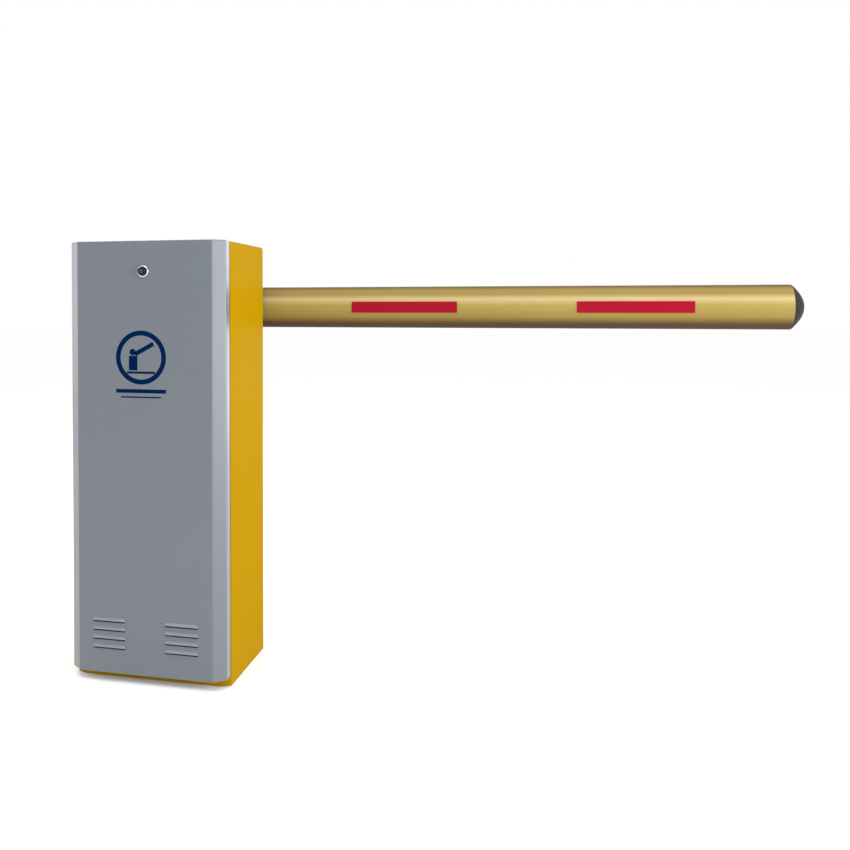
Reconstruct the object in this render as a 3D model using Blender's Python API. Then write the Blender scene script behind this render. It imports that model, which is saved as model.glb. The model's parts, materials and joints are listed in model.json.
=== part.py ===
"""Parking barrier gate: a sheet-metal cabinet, its boom, and the lifting mechanism inside.

Metres, +Z up. The origin is the centre of the cabinet's footprint at ground level.
X runs across the cabinet, with the closed boom along +X. The door faces -Y and the
boom turns on the +Y side. The model stands closed: boom level, door shut.
"""
import math

import bmesh
import bpy
from mathutils import Matrix, Vector

# ---------------------------------------------------------------- driving dimensions
GAP = 0.0003                  # clearance between pieces that touch

CABINET_WIDTH = 0.370
CABINET_DEPTH = 0.232
CABINET_HEIGHT = 0.980
SHEET = 0.002                 # cabinet and door sheet steel
CORNER_RADIUS = 0.007         # folded edges of the cabinet
RETURN_FLANGE = 0.022         # front edge of the cabinet, folded inwards
SILL_HEIGHT = 0.0185
SILL_REACH = 0.009            # the sill stands out under the door
SILL_CORNER = 0.024

DOOR_SEAM = 0.003             # gap between door and cabinet
DOOR_INSET = 0.001            # the door is this much narrower on each side
DOOR_BOTTOM = 0.0215
DOOR_FLANGE = 0.0213          # straight part of the tray's sides
DOOR_CHAMFER_WIDTH = 0.0256
DOOR_CHAMFER_DEPTH = 0.0197
DOOR_RETURN = 0.014
DOOR_EDGE_RADIUS = 0.0015
HOOK_X = 0.110
HOOK_WIDTH = 0.025
HOOK_THICKNESS = 0.002
HOOK_BELOW = 0.0115
HOOK_ABOVE = 0.012
SEAL_EDGE = 0.006             # from the cabinet's outside to the door seal
SEAL_WIDTH = 0.012
SEAL_RING = 0.018             # shaft seal, from the shaft's surface outwards
SEAL_THICKNESS = 0.006

LOUVRE_LENGTH = 0.081
LOUVRE_HEIGHT = 0.010
LOUVRE_DEPTH = 0.005
LOUVRE_PITCH = 0.0198
LOUVRE_COUNT = 4
LOUVRE_MARGIN = 0.032         # from the edge of the door's front face
LOUVRE_LOWEST = 0.054         # above the door's lower edge

LOCK_DROP = 0.067             # below the top of the cabinet
LOCK_BEZEL_RADIUS = 0.013
LOCK_BARREL_RADIUS = 0.0092
LOCK_BODY_RADIUS = 0.0115
LOCK_PROUD = 0.004
LOCK_INSIDE = 0.004           # lock body behind the cabinet's front flange
LOCK_NUT_EDGE = 0.006         # nut beyond the lock body
LOCK_NUT_THICKNESS = 0.006
BARREL_PROUD = 0.007          # barrel in front of the bezel
BARREL_END = 0.002            # barrel behind the cam
BARREL_FLAT = 0.005           # flat for the cam, above the barrel's axis
KEY_SLOT_LENGTH = 0.009
KEY_SLOT_WIDTH = 0.0016
KEY_SLOT_DEPTH = 0.008
CAM_WIDTH = 0.016
CAM_THICKNESS = 0.003
CAM_TAIL = 0.013
CAM_TIP_CLEARANCE = 0.001

BASE_PLATE = 0.008
ANCHOR_INSET = 0.012          # washer's edge to the side frame's foot
ANCHOR_Y = 0.080
ANCHOR_RADIUS = 0.006
ANCHOR_CLEARANCE = 0.001
ANCHOR_NUT_RADIUS = 0.0105
ANCHOR_NUT = 0.008
ANCHOR_STUB = 0.0115          # thread above the nut
ANCHOR_WASHER_RADIUS = 0.015
ANCHOR_WASHER = 0.0025
CABLE_HOLE_X = 0.050
CABLE_HOLE_Y = -0.060
CABLE_HOLE_RADIUS = 0.030

AXIS_HEIGHT = 0.835           # main shaft above the ground
SHAFT_RADIUS = 0.020
SHAFT_HOLE_CLEARANCE = 0.010  # shaft to the hole in the cabinet's back
SHAFT_INSET = 0.030           # cabinet's front to the end of the shaft
SHAFT_FLANGE_RADIUS = 0.045
SHAFT_FLANGE = 0.008
WALL_CLEARANCE = 0.003        # cabinet back to the shaft's flange

BOOM_RADIUS = 0.050
BOOM_WALL = 0.003
BOOM_END = 1.379              # end of the tube, from the shaft
BOOM_TAIL = -0.130
BOOM_CAP = 0.026              # length of the domed end cap
CAP_RIM = 0.002               # straight edge of the end cap
CAP_CROWN = 0.30              # flat middle of the end cap, as a share of its radius
CAP_STEPS = 5
CAP_INSET = 0.001             # caps are this much smaller than the tube in radius
TAIL_CAP = 0.006
CAP_SPIGOT = 0.030
STRIP_WIDTH = 0.0264
STRIP_THICKNESS = 0.0006
STRIP_LENGTH = 0.252
STRIP_STARTS = (0.401, 0.924)

SADDLE_LENGTH = 0.180
SADDLE_WEB = 0.007            # thinnest part of the cradle, behind the boom
SADDLE_MARGIN = 0.0191        # from a U-bolt's leg to the cradle's edge
UBOLT_RADIUS = 0.005
UBOLT_X = 0.055

LINK_LENGTH = 0.360           # main shaft to gearbox output
CRANK_RADIUS = 0.070
LEVER_RADIUS = 0.110          # spring lever
CRANK_REST = -45.0            # crank and rocker, degrees from +X
LEVER_REST = 135.0
ARM_THICKNESS = 0.008
ARM_Y = 0.037                 # middle of the crank and the rocker
ROD_THICKNESS = 0.0094
ROD_Y = 0.048
ROD_EYE = 0.013
ROD_BAR = 0.008
PIN_RADIUS = 0.006
PIN_HEAD_RADIUS = 0.0095
PIN_HEAD = 0.003
PIN_CLEARANCE = 0.0004
HUB_RADIUS = 0.032
EYE_RADIUS = 0.014
LEVER_Y = -0.004
LEVER_THICKNESS = 0.010

SPRING_OFFSET = 0.016         # each spring to the middle of the lever
HANGER_THICKNESS = 0.005
HANGER_DROP = 0.045
HANGER_HEAD = 0.013
HANGER_TAIL = 0.010
HANGER_HOLE_CLEARANCE = 0.0008
SPRING_RADIUS = 0.0110
WIRE_RADIUS = 0.0016
SPRING_LOOP = 0.0090
SPRING_NECK = 0.008           # between a loop and the coil
SPRING_TURNS = 12
SPRING_FOOT = 0.300           # lower loop of the springs above the ground
TENSION_EYE = 0.009
TENSION_WIRE = 0.0025
TENSION_SHANK = 0.005
TENSION_BELOW = 0.030         # thread under the bracket
TENSION_NUT_RADIUS = 0.0095
TENSION_NUT = 0.008
BRACKET_TOP = 0.200
BRACKET_PLATE = 0.005
BRACKET_CLEARANCE = 0.0272    # bracket's left end to the side frame
BRACKET_REACH = 0.050         # bracket beyond the springs on the right
BRACKET_DEPTH = 0.100

FRAME_PLATE = 0.004
FRAME_CLEARANCE = 0.003       # side frame to the cabinet's wall
FRAME_FRONT = -0.080
FRAME_BACK = 0.098
FRAME_FLANGE = 0.025
BEAM_HEIGHT = 0.040
BEARING_HEIGHT = 0.048        # bearing centre above the beams
BEARING_WIDTH = 0.026
BEARING_SPREAD = ((-0.056, "front"), (0.075, "rear"))
BEARING_RADIUS = 0.035
BLOCK_RADIUS = 0.045
BLOCK_LENGTH = 0.120
BLOCK_FOOT = 0.014

GEARBOX_LOW = (-0.050, -0.066, -0.058)
GEARBOX_HIGH = (0.075, 0.020, 0.058)
GEARBOX_WALL = 0.008
GEARBOX_COVER = 0.006
GEARBOX_EDGE = 0.006          # rounded corners of the housing
GEARBOX_BOSS = 0.005
GEARBOX_PLAY = 0.004          # shaft ends to the inside of the gearbox
OUTPUT_RADIUS = 0.014
OUTPUT_HUB = 0.024
WHEEL_RADIUS = 0.034
WHEEL_WIDTH = 0.014
WHEEL_TEETH = 40
TOOTH_DEPTH = 0.0028
WORM_RADIUS = 0.0115
WORM_CLEARANCE = 0.0005       # worm to wheel, tip to tip
WORM_RIDGES = 6
GEAR_Y = -0.0225
SHELF_PLATE = 0.006
SHELF_END = 0.030             # upturned ends, measured below the plate
NOTCH_LEFT = 0.055            # shelf's notch round the springs, from their middle
NOTCH_RIGHT = 0.025
NOTCH_DEPTH = 0.038
MOTOR_RADIUS = 0.046
MOTOR_FIN = 0.004
MOTOR_FINS = 16
MOTOR_LENGTH = 0.130
MOTOR_WALL = 0.005
MOTOR_LID = 0.012
STATOR_MARGIN = 0.020         # from the stator to each end of the motor
ROTOR_MARGIN = 0.015
ROTOR_RADIUS = 0.030
AIR_GAP = 0.001
MOTOR_SHAFT = 0.006
SHAFT_TAIL = 0.010            # motor shaft beyond the hand wheel's middle
HANDWHEEL_RADIUS = 0.038
HANDWHEEL_RIM = 0.005
HANDWHEEL_DROP = 0.020
HANDWHEEL_HUB = 0.014
SPOKE_WIDTH = 0.010
SPOKE_THICKNESS = 0.006

STOP_REACH = 0.045            # where the rubber meets the crank
BUFFER_RADIUS = 0.008
BUFFER_LENGTH = 0.012
STOP_PLATE = 0.012
STOP_SPINE = 0.008
STOP_LEFT = 0.040             # spine's outer face, from the shaft's axis

CONTROL_FRONT = 0.020
CONTROL_BOTTOM = 0.060
CONTROL_SIZE = (0.130, 0.055, 0.130)
CONTROL_WALL = 0.0025
CONTROL_LID = 0.012
BOARD_DEPTH = 0.035           # from the lid's face to the board
BOARD_THICKNESS = 0.002

SEGMENTS = 32                 # sides of the larger round pieces
FINE = 20
COARSE = 12
SPRING_STEPS = 8              # points on each turn of a spring
SPRING_SIDES = 5

# ---------------------------------------------------------------- derived dimensions
HALF_WIDTH = CABINET_WIDTH / 2
FRONT = -CABINET_DEPTH / 2
BACK = CABINET_DEPTH / 2
INNER_X = HALF_WIDTH - SHEET
INNER_BACK = BACK - SHEET
DOOR_BACK = FRONT - DOOR_SEAM
DOOR_FACE = DOOR_BACK - DOOR_FLANGE - DOOR_CHAMFER_DEPTH
DOOR_HALF = HALF_WIDTH - DOOR_INSET
FACE_HALF = DOOR_HALF - DOOR_CHAMFER_WIDTH
LOCK_HEIGHT = CABINET_HEIGHT - LOCK_DROP
SHAFT_FRONT = FRONT + SHAFT_INSET
SHAFT_BACK = BACK + WALL_CLEARANCE + SHAFT_FLANGE
BOOM_Y = SHAFT_BACK + SADDLE_WEB + BOOM_RADIUS
UBOLT_LEG = BOOM_RADIUS + UBOLT_RADIUS + 3 * GAP
BEAM_TOP = AXIS_HEIGHT - BEARING_HEIGHT - GAP
BEAM_BOTTOM = BEAM_TOP - BEAM_HEIGHT
FRAME_TOP = BEAM_BOTTOM - GAP
FRAME_BOTTOM = BASE_PLATE + GAP
FRAME_OUTER = INNER_X - FRAME_CLEARANCE
FRAME_WEB = FRAME_OUTER - FRAME_PLATE
FRAME_INNER = FRAME_OUTER - FRAME_FLANGE
ANCHOR_X = FRAME_INNER - ANCHOR_INSET - ANCHOR_WASHER_RADIUS
OUTPUT_HEIGHT = AXIS_HEIGHT - LINK_LENGTH
WORM_X = WHEEL_RADIUS + WORM_CLEARANCE + WORM_RADIUS
SHELF_TOP = OUTPUT_HEIGHT + GEARBOX_LOW[2] - GAP
SHELF_BOTTOM = SHELF_TOP - SHELF_PLATE
MOTOR_TOP = SHELF_BOTTOM - GAP
MOTOR_BOTTOM = MOTOR_TOP - MOTOR_LENGTH
HANDWHEEL_HEIGHT = MOTOR_BOTTOM - MOTOR_LID - HANDWHEEL_DROP
LEVER_ANGLE = math.radians(LEVER_REST)
SPRING_X = LEVER_RADIUS * math.cos(LEVER_ANGLE)
SPRING_PIN_HEIGHT = AXIS_HEIGHT + LEVER_RADIUS * math.sin(LEVER_ANGLE)
SPRING_HEAD = SPRING_PIN_HEIGHT - HANGER_DROP


# ---------------------------------------------------------------- materials
def make_material(name, colour, roughness, metallic):
    """A plain Principled material in linear colour."""
    material = bpy.data.materials.new(name)
    material.use_nodes = True
    shader = material.node_tree.nodes["Principled BSDF"]
    shader.inputs["Base Color"].default_value = (*colour, 1.0)
    shader.inputs["Roughness"].default_value = roughness
    shader.inputs["Metallic"].default_value = metallic
    material.diffuse_color = (*colour, 1.0)
    return material


def make_materials():
    """All finishes of the barrier, by name."""
    return {
        "yellow": make_material("yellow_paint", (0.72, 0.38, 0.02), 0.30, 0.0),
        "grey": make_material("grey_paint", (0.23, 0.25, 0.27), 0.40, 0.2),
        "gold": make_material("gold_anodised", (0.52, 0.38, 0.13), 0.35, 0.7),
        "red": make_material("red_reflective", (0.46, 0.012, 0.035), 0.35, 0.0),
        "rubber": make_material("black_rubber", (0.02, 0.02, 0.022), 0.75, 0.0),
        "plastic": make_material("black_plastic", (0.03, 0.03, 0.033), 0.45, 0.0),
        "chrome": make_material("chrome", (0.75, 0.75, 0.76), 0.12, 1.0),
        "steel": make_material("machined_steel", (0.50, 0.50, 0.51), 0.30, 1.0),
        "zinc": make_material("zinc_plated", (0.58, 0.58, 0.55), 0.38, 0.9),
        "frame": make_material("frame_paint", (0.10, 0.11, 0.12), 0.50, 0.0),
        "cast": make_material("cast_iron", (0.12, 0.14, 0.16), 0.60, 0.4),
        "aluminium": make_material("cast_aluminium", (0.55, 0.56, 0.57), 0.45, 0.9),
        "bronze": make_material("bronze", (0.50, 0.30, 0.11), 0.35, 1.0),
        "box": make_material("pale_plastic", (0.55, 0.56, 0.55), 0.50, 0.0),
        "knob": make_material("red_plastic", (0.50, 0.03, 0.02), 0.40, 0.0),
    }


# ---------------------------------------------------------------- mesh helpers
def mesh_from(vertices, faces):
    """A closed mesh with its faces turned outwards."""
    mesh = bpy.data.meshes.new("shape")
    mesh.from_pydata([tuple(v) for v in vertices], [], faces)
    shape = bmesh.new()
    shape.from_mesh(mesh)
    bmesh.ops.recalc_face_normals(shape, faces=shape.faces)
    shape.to_mesh(mesh)
    shape.free()
    return mesh


def block(low, high):
    """A box between two corners."""
    shape = bmesh.new()
    bmesh.ops.create_cube(shape, size=1.0)
    low, high = Vector(low), Vector(high)
    size = high - low
    bmesh.ops.transform(shape, matrix=Matrix.Diagonal((*size, 1.0)), verts=shape.verts)
    bmesh.ops.translate(shape, vec=(low + high) / 2, verts=shape.verts)
    mesh = bpy.data.meshes.new("block")
    shape.to_mesh(mesh)
    shape.free()
    return mesh


def along(axis, u, v, w):
    """Point with w along the named axis and (u, v) across it."""
    return {"X": (w, u, v), "Y": (u, w, v), "Z": (u, v, w)}[axis]


def prism(outline, axis, start, end):
    """A flat outline drawn across an axis and extruded along it."""
    count = len(outline)
    vertices = [along(axis, u, v, start) for u, v in outline]
    vertices += [along(axis, u, v, end) for u, v in outline]
    faces = [tuple(range(count)), tuple(range(2 * count - 1, count - 1, -1))]
    faces += [(i, (i + 1) % count, (i + 1) % count + count, i + count) for i in range(count)]
    return mesh_from(vertices, faces)


def turned(profile, axis, centre=(0.0, 0.0), sides=SEGMENTS):
    """A profile of (radius, station) points turned about an axis; both ends are closed."""
    vertices, rings = [], []
    for radius, station in profile:
        if radius == 0.0:
            rings.append([len(vertices)])
            vertices.append(along(axis, centre[0], centre[1], station))
            continue
        rings.append(list(range(len(vertices), len(vertices) + sides)))
        for i in range(sides):
            angle = 2 * math.pi * (i + 0.5) / sides
            u = centre[0] + radius * math.cos(angle)
            v = centre[1] + radius * math.sin(angle)
            vertices.append(along(axis, u, v, station))
    faces = []
    for lower, upper in zip(rings, rings[1:]):
        for i in range(sides):
            j = (i + 1) % sides
            corners = [lower[i % len(lower)], lower[j % len(lower)],
                       upper[j % len(upper)], upper[i % len(upper)]]
            faces.append(tuple(dict.fromkeys(corners)))
    if len(rings[0]) > 1:
        faces.append(tuple(rings[0]))
    if len(rings[-1]) > 1:
        faces.append(tuple(rings[-1]))
    return mesh_from(vertices, faces)


def rod(radius, axis, start, end, centre=(0.0, 0.0), sides=SEGMENTS):
    """A plain round bar."""
    return turned([(radius, start), (radius, end)], axis, centre, sides)


def ring(outer, inner, axis, start, end, centre=(0.0, 0.0), sides=SEGMENTS):
    """A plain round ring with a through bore."""
    vertices = []
    for radius, station in ((outer, start), (outer, end), (inner, end), (inner, start)):
        for i in range(sides):
            angle = 2 * math.pi * (i + 0.5) / sides
            u = centre[0] + radius * math.cos(angle)
            v = centre[1] + radius * math.sin(angle)
            vertices.append(along(axis, u, v, station))
    faces = []
    for step in range(4):
        for i in range(sides):
            j = (i + 1) % sides
            lower, upper = step * sides, (step + 1) % 4 * sides
            faces.append((lower + i, lower + j, upper + j, upper + i))
    return mesh_from(vertices, faces)


def sweep(path, radius, closed, sides=6):
    """A round wire along a list of points, with flat ends unless it is a closed loop."""
    count = len(path)
    vertices = []
    normal = Vector((0.0, 0.0, 1.0))
    for i, point in enumerate(path):
        before = path[i - 1] if closed or i > 0 else point
        after = path[(i + 1) % count] if closed or i < count - 1 else point
        tangent = (after - before).normalized()
        if i == 0 and abs(tangent.dot(normal)) > 0.9:
            normal = Vector((1.0, 0.0, 0.0))
        normal = (normal - tangent * normal.dot(tangent)).normalized()
        side = tangent.cross(normal)
        for k in range(sides):
            angle = 2 * math.pi * k / sides
            vertices.append(point + radius * (normal * math.cos(angle) + side * math.sin(angle)))
    faces = []
    for i in range(count if closed else count - 1):
        a, b = i * sides, (i + 1) % count * sides
        faces += [(a + k, a + (k + 1) % sides, b + (k + 1) % sides, b + k) for k in range(sides)]
    if not closed:
        faces.append(tuple(range(sides)))
        faces.append(tuple(range((count - 1) * sides, count * sides)))
    return mesh_from(vertices, faces)


def arc(centre, radius, start, end, steps):
    """Points on an arc, angles in degrees."""
    points = []
    for i in range(steps + 1):
        angle = math.radians(start + (end - start) * i / steps)
        points.append((centre[0] + radius * math.cos(angle), centre[1] + radius * math.sin(angle)))
    return points


def arm_outline(hub, eye, reach, angle):
    """Outline of a lever: a hub and an eye joined by their common tangents."""
    lean = math.degrees(math.acos((hub - eye) / reach))
    tip = (reach * math.cos(math.radians(angle)), reach * math.sin(math.radians(angle)))
    points = arc(tip, eye, angle - lean, angle + lean, 10)
    points += arc((0.0, 0.0), hub, angle + lean, angle + 360 - lean, 22)
    return points


def bevel_edges(mesh, chosen, width, segments):
    """Round the edges of a mesh for which chosen(edge) is true."""
    shape = bmesh.new()
    shape.from_mesh(mesh)
    edges = [edge for edge in shape.edges if chosen(edge)]
    bmesh.ops.bevel(shape, geom=edges, offset=width, segments=segments, profile=0.5, affect="EDGES")
    shape.to_mesh(mesh)
    shape.free()
    return mesh


def is_along_y(edge):
    """True for an edge that runs along Y."""
    return edge.verts[0].co.y != edge.verts[1].co.y


# ---------------------------------------------------------------- object helpers
def make_axis(name, location, parent=None):
    """An empty that stands on a joint's axis."""
    empty = bpy.data.objects.new(name, None)
    bpy.context.collection.objects.link(empty)
    empty.empty_display_size = 0.03
    empty.parent = parent
    empty.location = location
    return empty


def make_part(name, mesh, material, parent=None, location=(0, 0, 0), add=(), cut=(), smooth=30.0):
    """One sub-part; add and cut are meshes in its own frame, joined or taken away."""
    part = bpy.data.objects.new(name, mesh)
    bpy.context.collection.objects.link(part)
    part.parent = parent
    part.location = location
    mesh.name = name
    mesh.materials.clear()
    mesh.materials.append(material)
    mesh.shade_smooth()
    mesh.set_sharp_from_angle(angle=math.radians(smooth))
    shapes = [("UNION", shape) for shape in add] + [("DIFFERENCE", shape) for shape in cut]
    for number, (operation, shape) in enumerate(shapes):
        guide = bpy.data.objects.new(f"{name}_guide_{number}", shape)
        bpy.context.collection.objects.link(guide)
        guide.parent = parent
        guide.location = location
        guide.hide_render = True
        guide.display_type = "WIRE"
        modifier = part.modifiers.new(f"{operation.lower()}_{number}", "BOOLEAN")
        modifier.operation = operation
        modifier.solver = "EXACT"
        modifier.object = guide
    return part


# ---------------------------------------------------------------- cabinet
def make_shell(paint):
    """Folded and welded cabinet: two sides, back, top, front flanges and the sill."""
    outer = block((-HALF_WIDTH, FRONT, 0), (HALF_WIDTH, BACK, CABINET_HEIGHT))
    cavity = block((-INNER_X, FRONT + SHEET, -SHEET), (INNER_X, INNER_BACK, CABINET_HEIGHT - SHEET))

    def is_folded(edge):
        middle = (edge.verts[0].co + edge.verts[1].co) / 2
        at_back = middle.y > INNER_BACK - GAP
        at_side = abs(middle.x) > INNER_X - GAP
        at_top = middle.z > CABINET_HEIGHT - SHEET - GAP
        return (at_back and at_side) or (at_top and (at_back or at_side))

    bevel_edges(outer, is_folded, CORNER_RADIUS, 3)
    bevel_edges(cavity, is_folded, CORNER_RADIUS - SHEET, 3)
    opening_half = HALF_WIDTH - RETURN_FLANGE
    doorway = block((-opening_half, FRONT - SHEET, SILL_HEIGHT),
                    (opening_half, FRONT + 2 * SHEET, CABINET_HEIGHT - RETURN_FLANGE))
    lip = [(-HALF_WIDTH, FRONT), (-HALF_WIDTH + SILL_CORNER, FRONT - SILL_REACH),
           (HALF_WIDTH - SILL_CORNER, FRONT - SILL_REACH), (HALF_WIDTH, FRONT),
           (HALF_WIDTH - SHEET, FRONT + SHEET), (SHEET - HALF_WIDTH, FRONT + SHEET)]
    sill = prism(lip, "Z", 0.0, SILL_HEIGHT)
    shaft_hole = rod(SHAFT_RADIUS + SHAFT_HOLE_CLEARANCE, "Y", INNER_BACK - SHEET, BACK + SHEET,
                     (0.0, AXIS_HEIGHT))
    slots = [block((side * HOOK_X - HOOK_WIDTH / 2 - SHEET, DOOR_BACK - SHEET, -SHEET),
                   (side * HOOK_X + HOOK_WIDTH / 2 + SHEET, FRONT + 2 * SHEET, SILL_HEIGHT + SHEET))
             for side in (-1, 1)]
    make_part("cabinet_shell", outer, paint["yellow"], add=[sill],
              cut=[cavity, doorway, shaft_hole] + slots)


def make_seals(paint):
    """Rubber strip round the top and sides of the doorway, and the ring round the shaft."""
    outer_x = HALF_WIDTH - SEAL_EDGE
    inner_x = outer_x - SEAL_WIDTH
    foot = DOOR_BOTTOM + 2 * HOOK_ABOVE
    head = CABINET_HEIGHT - SEAL_EDGE
    outline = [(-outer_x, foot), (-outer_x, head), (outer_x, head), (outer_x, foot),
               (inner_x, foot), (inner_x, head - SEAL_WIDTH), (-inner_x, head - SEAL_WIDTH), (-inner_x, foot)]
    make_part("door_seal", prism(outline, "Y", DOOR_BACK + GAP, FRONT - GAP), paint["rubber"])
    seal = ring(SHAFT_RADIUS + SEAL_RING, SHAFT_RADIUS + GAP, "Y", INNER_BACK - SEAL_THICKNESS,
                INNER_BACK - GAP)
    make_part("shaft_seal", seal, paint["rubber"], location=(0, 0, AXIS_HEIGHT))


def make_base(paint):
    """Thick base plate with its bolt holes and cable hole, and the four ground bolts."""
    edge = 2 * GAP
    low = (-INNER_X + edge, FRONT + SHEET + edge, 0.0)
    high = (INNER_X - edge, INNER_BACK - edge, BASE_PLATE)
    corners = [(x, y) for x in (-ANCHOR_X, ANCHOR_X) for y in (-ANCHOR_Y, ANCHOR_Y)]
    holes = [rod(ANCHOR_RADIUS + ANCHOR_CLEARANCE, "Z", -SHEET, 2 * BASE_PLATE, corner, FINE)
             for corner in corners]
    cable = rod(CABLE_HOLE_RADIUS, "Z", -SHEET, 2 * BASE_PLATE, (CABLE_HOLE_X, CABLE_HOLE_Y), SEGMENTS)
    plate = bevel_edges(block(low, high), lambda edge: edge.verts[0].co.z != edge.verts[1].co.z,
                        CORNER_RADIUS - SHEET, 3)
    make_part("base_plate", plate, paint["zinc"], cut=holes + [cable])
    washer = BASE_PLATE + GAP
    nut = washer + ANCHOR_WASHER
    top = nut + ANCHOR_NUT
    profile = [(ANCHOR_RADIUS, GAP), (ANCHOR_RADIUS, washer), (ANCHOR_WASHER_RADIUS, washer),
               (ANCHOR_WASHER_RADIUS, nut), (ANCHOR_NUT_RADIUS, nut), (ANCHOR_NUT_RADIUS, top),
               (ANCHOR_RADIUS, top), (ANCHOR_RADIUS, top + ANCHOR_STUB)]
    mesh = turned(profile, "Z", sides=COARSE)
    for number, (x, y) in enumerate(corners, 1):
        make_part(f"ground_bolt_{number}", mesh, paint["zinc"], location=(x, y, 0))


def make_frame(paint):
    """Two side channels, the two beams on them, and the bearing blocks."""
    for side, name in ((-1, "left"), (1, "right")):
        web, flange = FRAME_OUTER * side, FRAME_INNER * side
        inner = FRAME_WEB * side
        outline = [(web, FRAME_BOTTOM), (web, FRAME_TOP), (flange, FRAME_TOP),
                   (flange, FRAME_TOP - FRAME_PLATE), (inner, FRAME_TOP - FRAME_PLATE),
                   (inner, FRAME_BOTTOM + FRAME_PLATE), (flange, FRAME_BOTTOM + FRAME_PLATE),
                   (flange, FRAME_BOTTOM)]
        make_part(f"side_frame_{name}", prism(outline, "Y", FRAME_FRONT, FRAME_BACK), paint["frame"])
    half = FRAME_OUTER - GAP
    outline = [(-BLOCK_LENGTH / 2, 0.0), (BLOCK_LENGTH / 2, 0.0), (BLOCK_LENGTH / 2, BLOCK_FOOT)]
    lean = math.degrees(math.asin((BEARING_HEIGHT - BLOCK_FOOT) / BLOCK_RADIUS))
    outline += arc((0.0, BEARING_HEIGHT), BLOCK_RADIUS, -lean, 180 + lean, 18)
    outline += [(-BLOCK_LENGTH / 2, BLOCK_FOOT)]
    for y, name in BEARING_SPREAD:
        low, high = y - BEARING_WIDTH / 2, y + BEARING_WIDTH / 2
        beam = block((-half, low, BEAM_BOTTOM), (half, high, BEAM_TOP))
        make_part(f"bearing_beam_{name}", beam, paint["frame"])
        housing = prism(outline, "Y", low, high)
        bore = rod(BEARING_RADIUS, "Y", low - SHEET, high + SHEET, (0.0, BEARING_HEIGHT))
        make_part(f"bearing_block_{name}", housing, paint["cast"], location=(0, 0, BEAM_TOP + GAP),
                  cut=[bore])
        insert = ring(BEARING_RADIUS - GAP, SHAFT_RADIUS + GAP, "Y", low + SHEET, high - SHEET)
        make_part(f"bearing_{name}", insert, paint["steel"], location=(0, 0, AXIS_HEIGHT))


# ---------------------------------------------------------------- door
def door_outline(inset):
    """The tray seen from above, drawn in by the sheet's thickness for its inside."""
    slope = math.hypot(DOOR_CHAMFER_WIDTH, DOOR_CHAMFER_DEPTH)
    turn = inset * (slope - DOOR_CHAMFER_WIDTH) / DOOR_CHAMFER_DEPTH
    bend = inset * (slope - DOOR_CHAMFER_DEPTH) / DOOR_CHAMFER_WIDTH
    side = DOOR_HALF - inset
    face = DOOR_FACE + inset
    shoulder = DOOR_BACK - DOOR_FLANGE + turn
    back = DOOR_BACK - inset
    return [(-side, back), (-side, shoulder), (-FACE_HALF + bend, face), (FACE_HALF - bend, face),
            (side, shoulder), (side, back)]


def make_louvre(x, z):
    """A pressed hood: flat on the door, deepest just above its lower edge, open below."""
    half = LOUVRE_LENGTH / 2
    slant = LOUVRE_HEIGHT * 0.6
    y = DOOR_FACE
    sink = SHEET / 2
    vertices = [(x - half, y + sink, z), (x + half, y + sink, z),
                (x + half, y - LOUVRE_DEPTH, z), (x - half, y - LOUVRE_DEPTH, z),
                (x - half + slant, y + sink, z + LOUVRE_HEIGHT),
                (x + half - slant, y + sink, z + LOUVRE_HEIGHT),
                (x + half - slant, y - SHEET / 4, z + LOUVRE_HEIGHT),
                (x - half + slant, y - SHEET / 4, z + LOUVRE_HEIGHT)]
    faces = [(0, 1, 2, 3), (4, 7, 6, 5), (0, 4, 5, 1), (3, 2, 6, 7), (0, 3, 7, 4), (1, 5, 6, 2)]
    return mesh_from(vertices, faces)


def make_louvre_slot(x, z):
    """The opening behind a hood, from its lower edge into the tray."""
    half = LOUVRE_LENGTH / 2 - 2 * SHEET
    low = (x - half, DOOR_FACE - LOUVRE_DEPTH + SHEET / 2, z - SHEET)
    high = (x + half, DOOR_FACE + 2 * SHEET, z + LOUVRE_HEIGHT * 0.35)
    return block(low, high)


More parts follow.
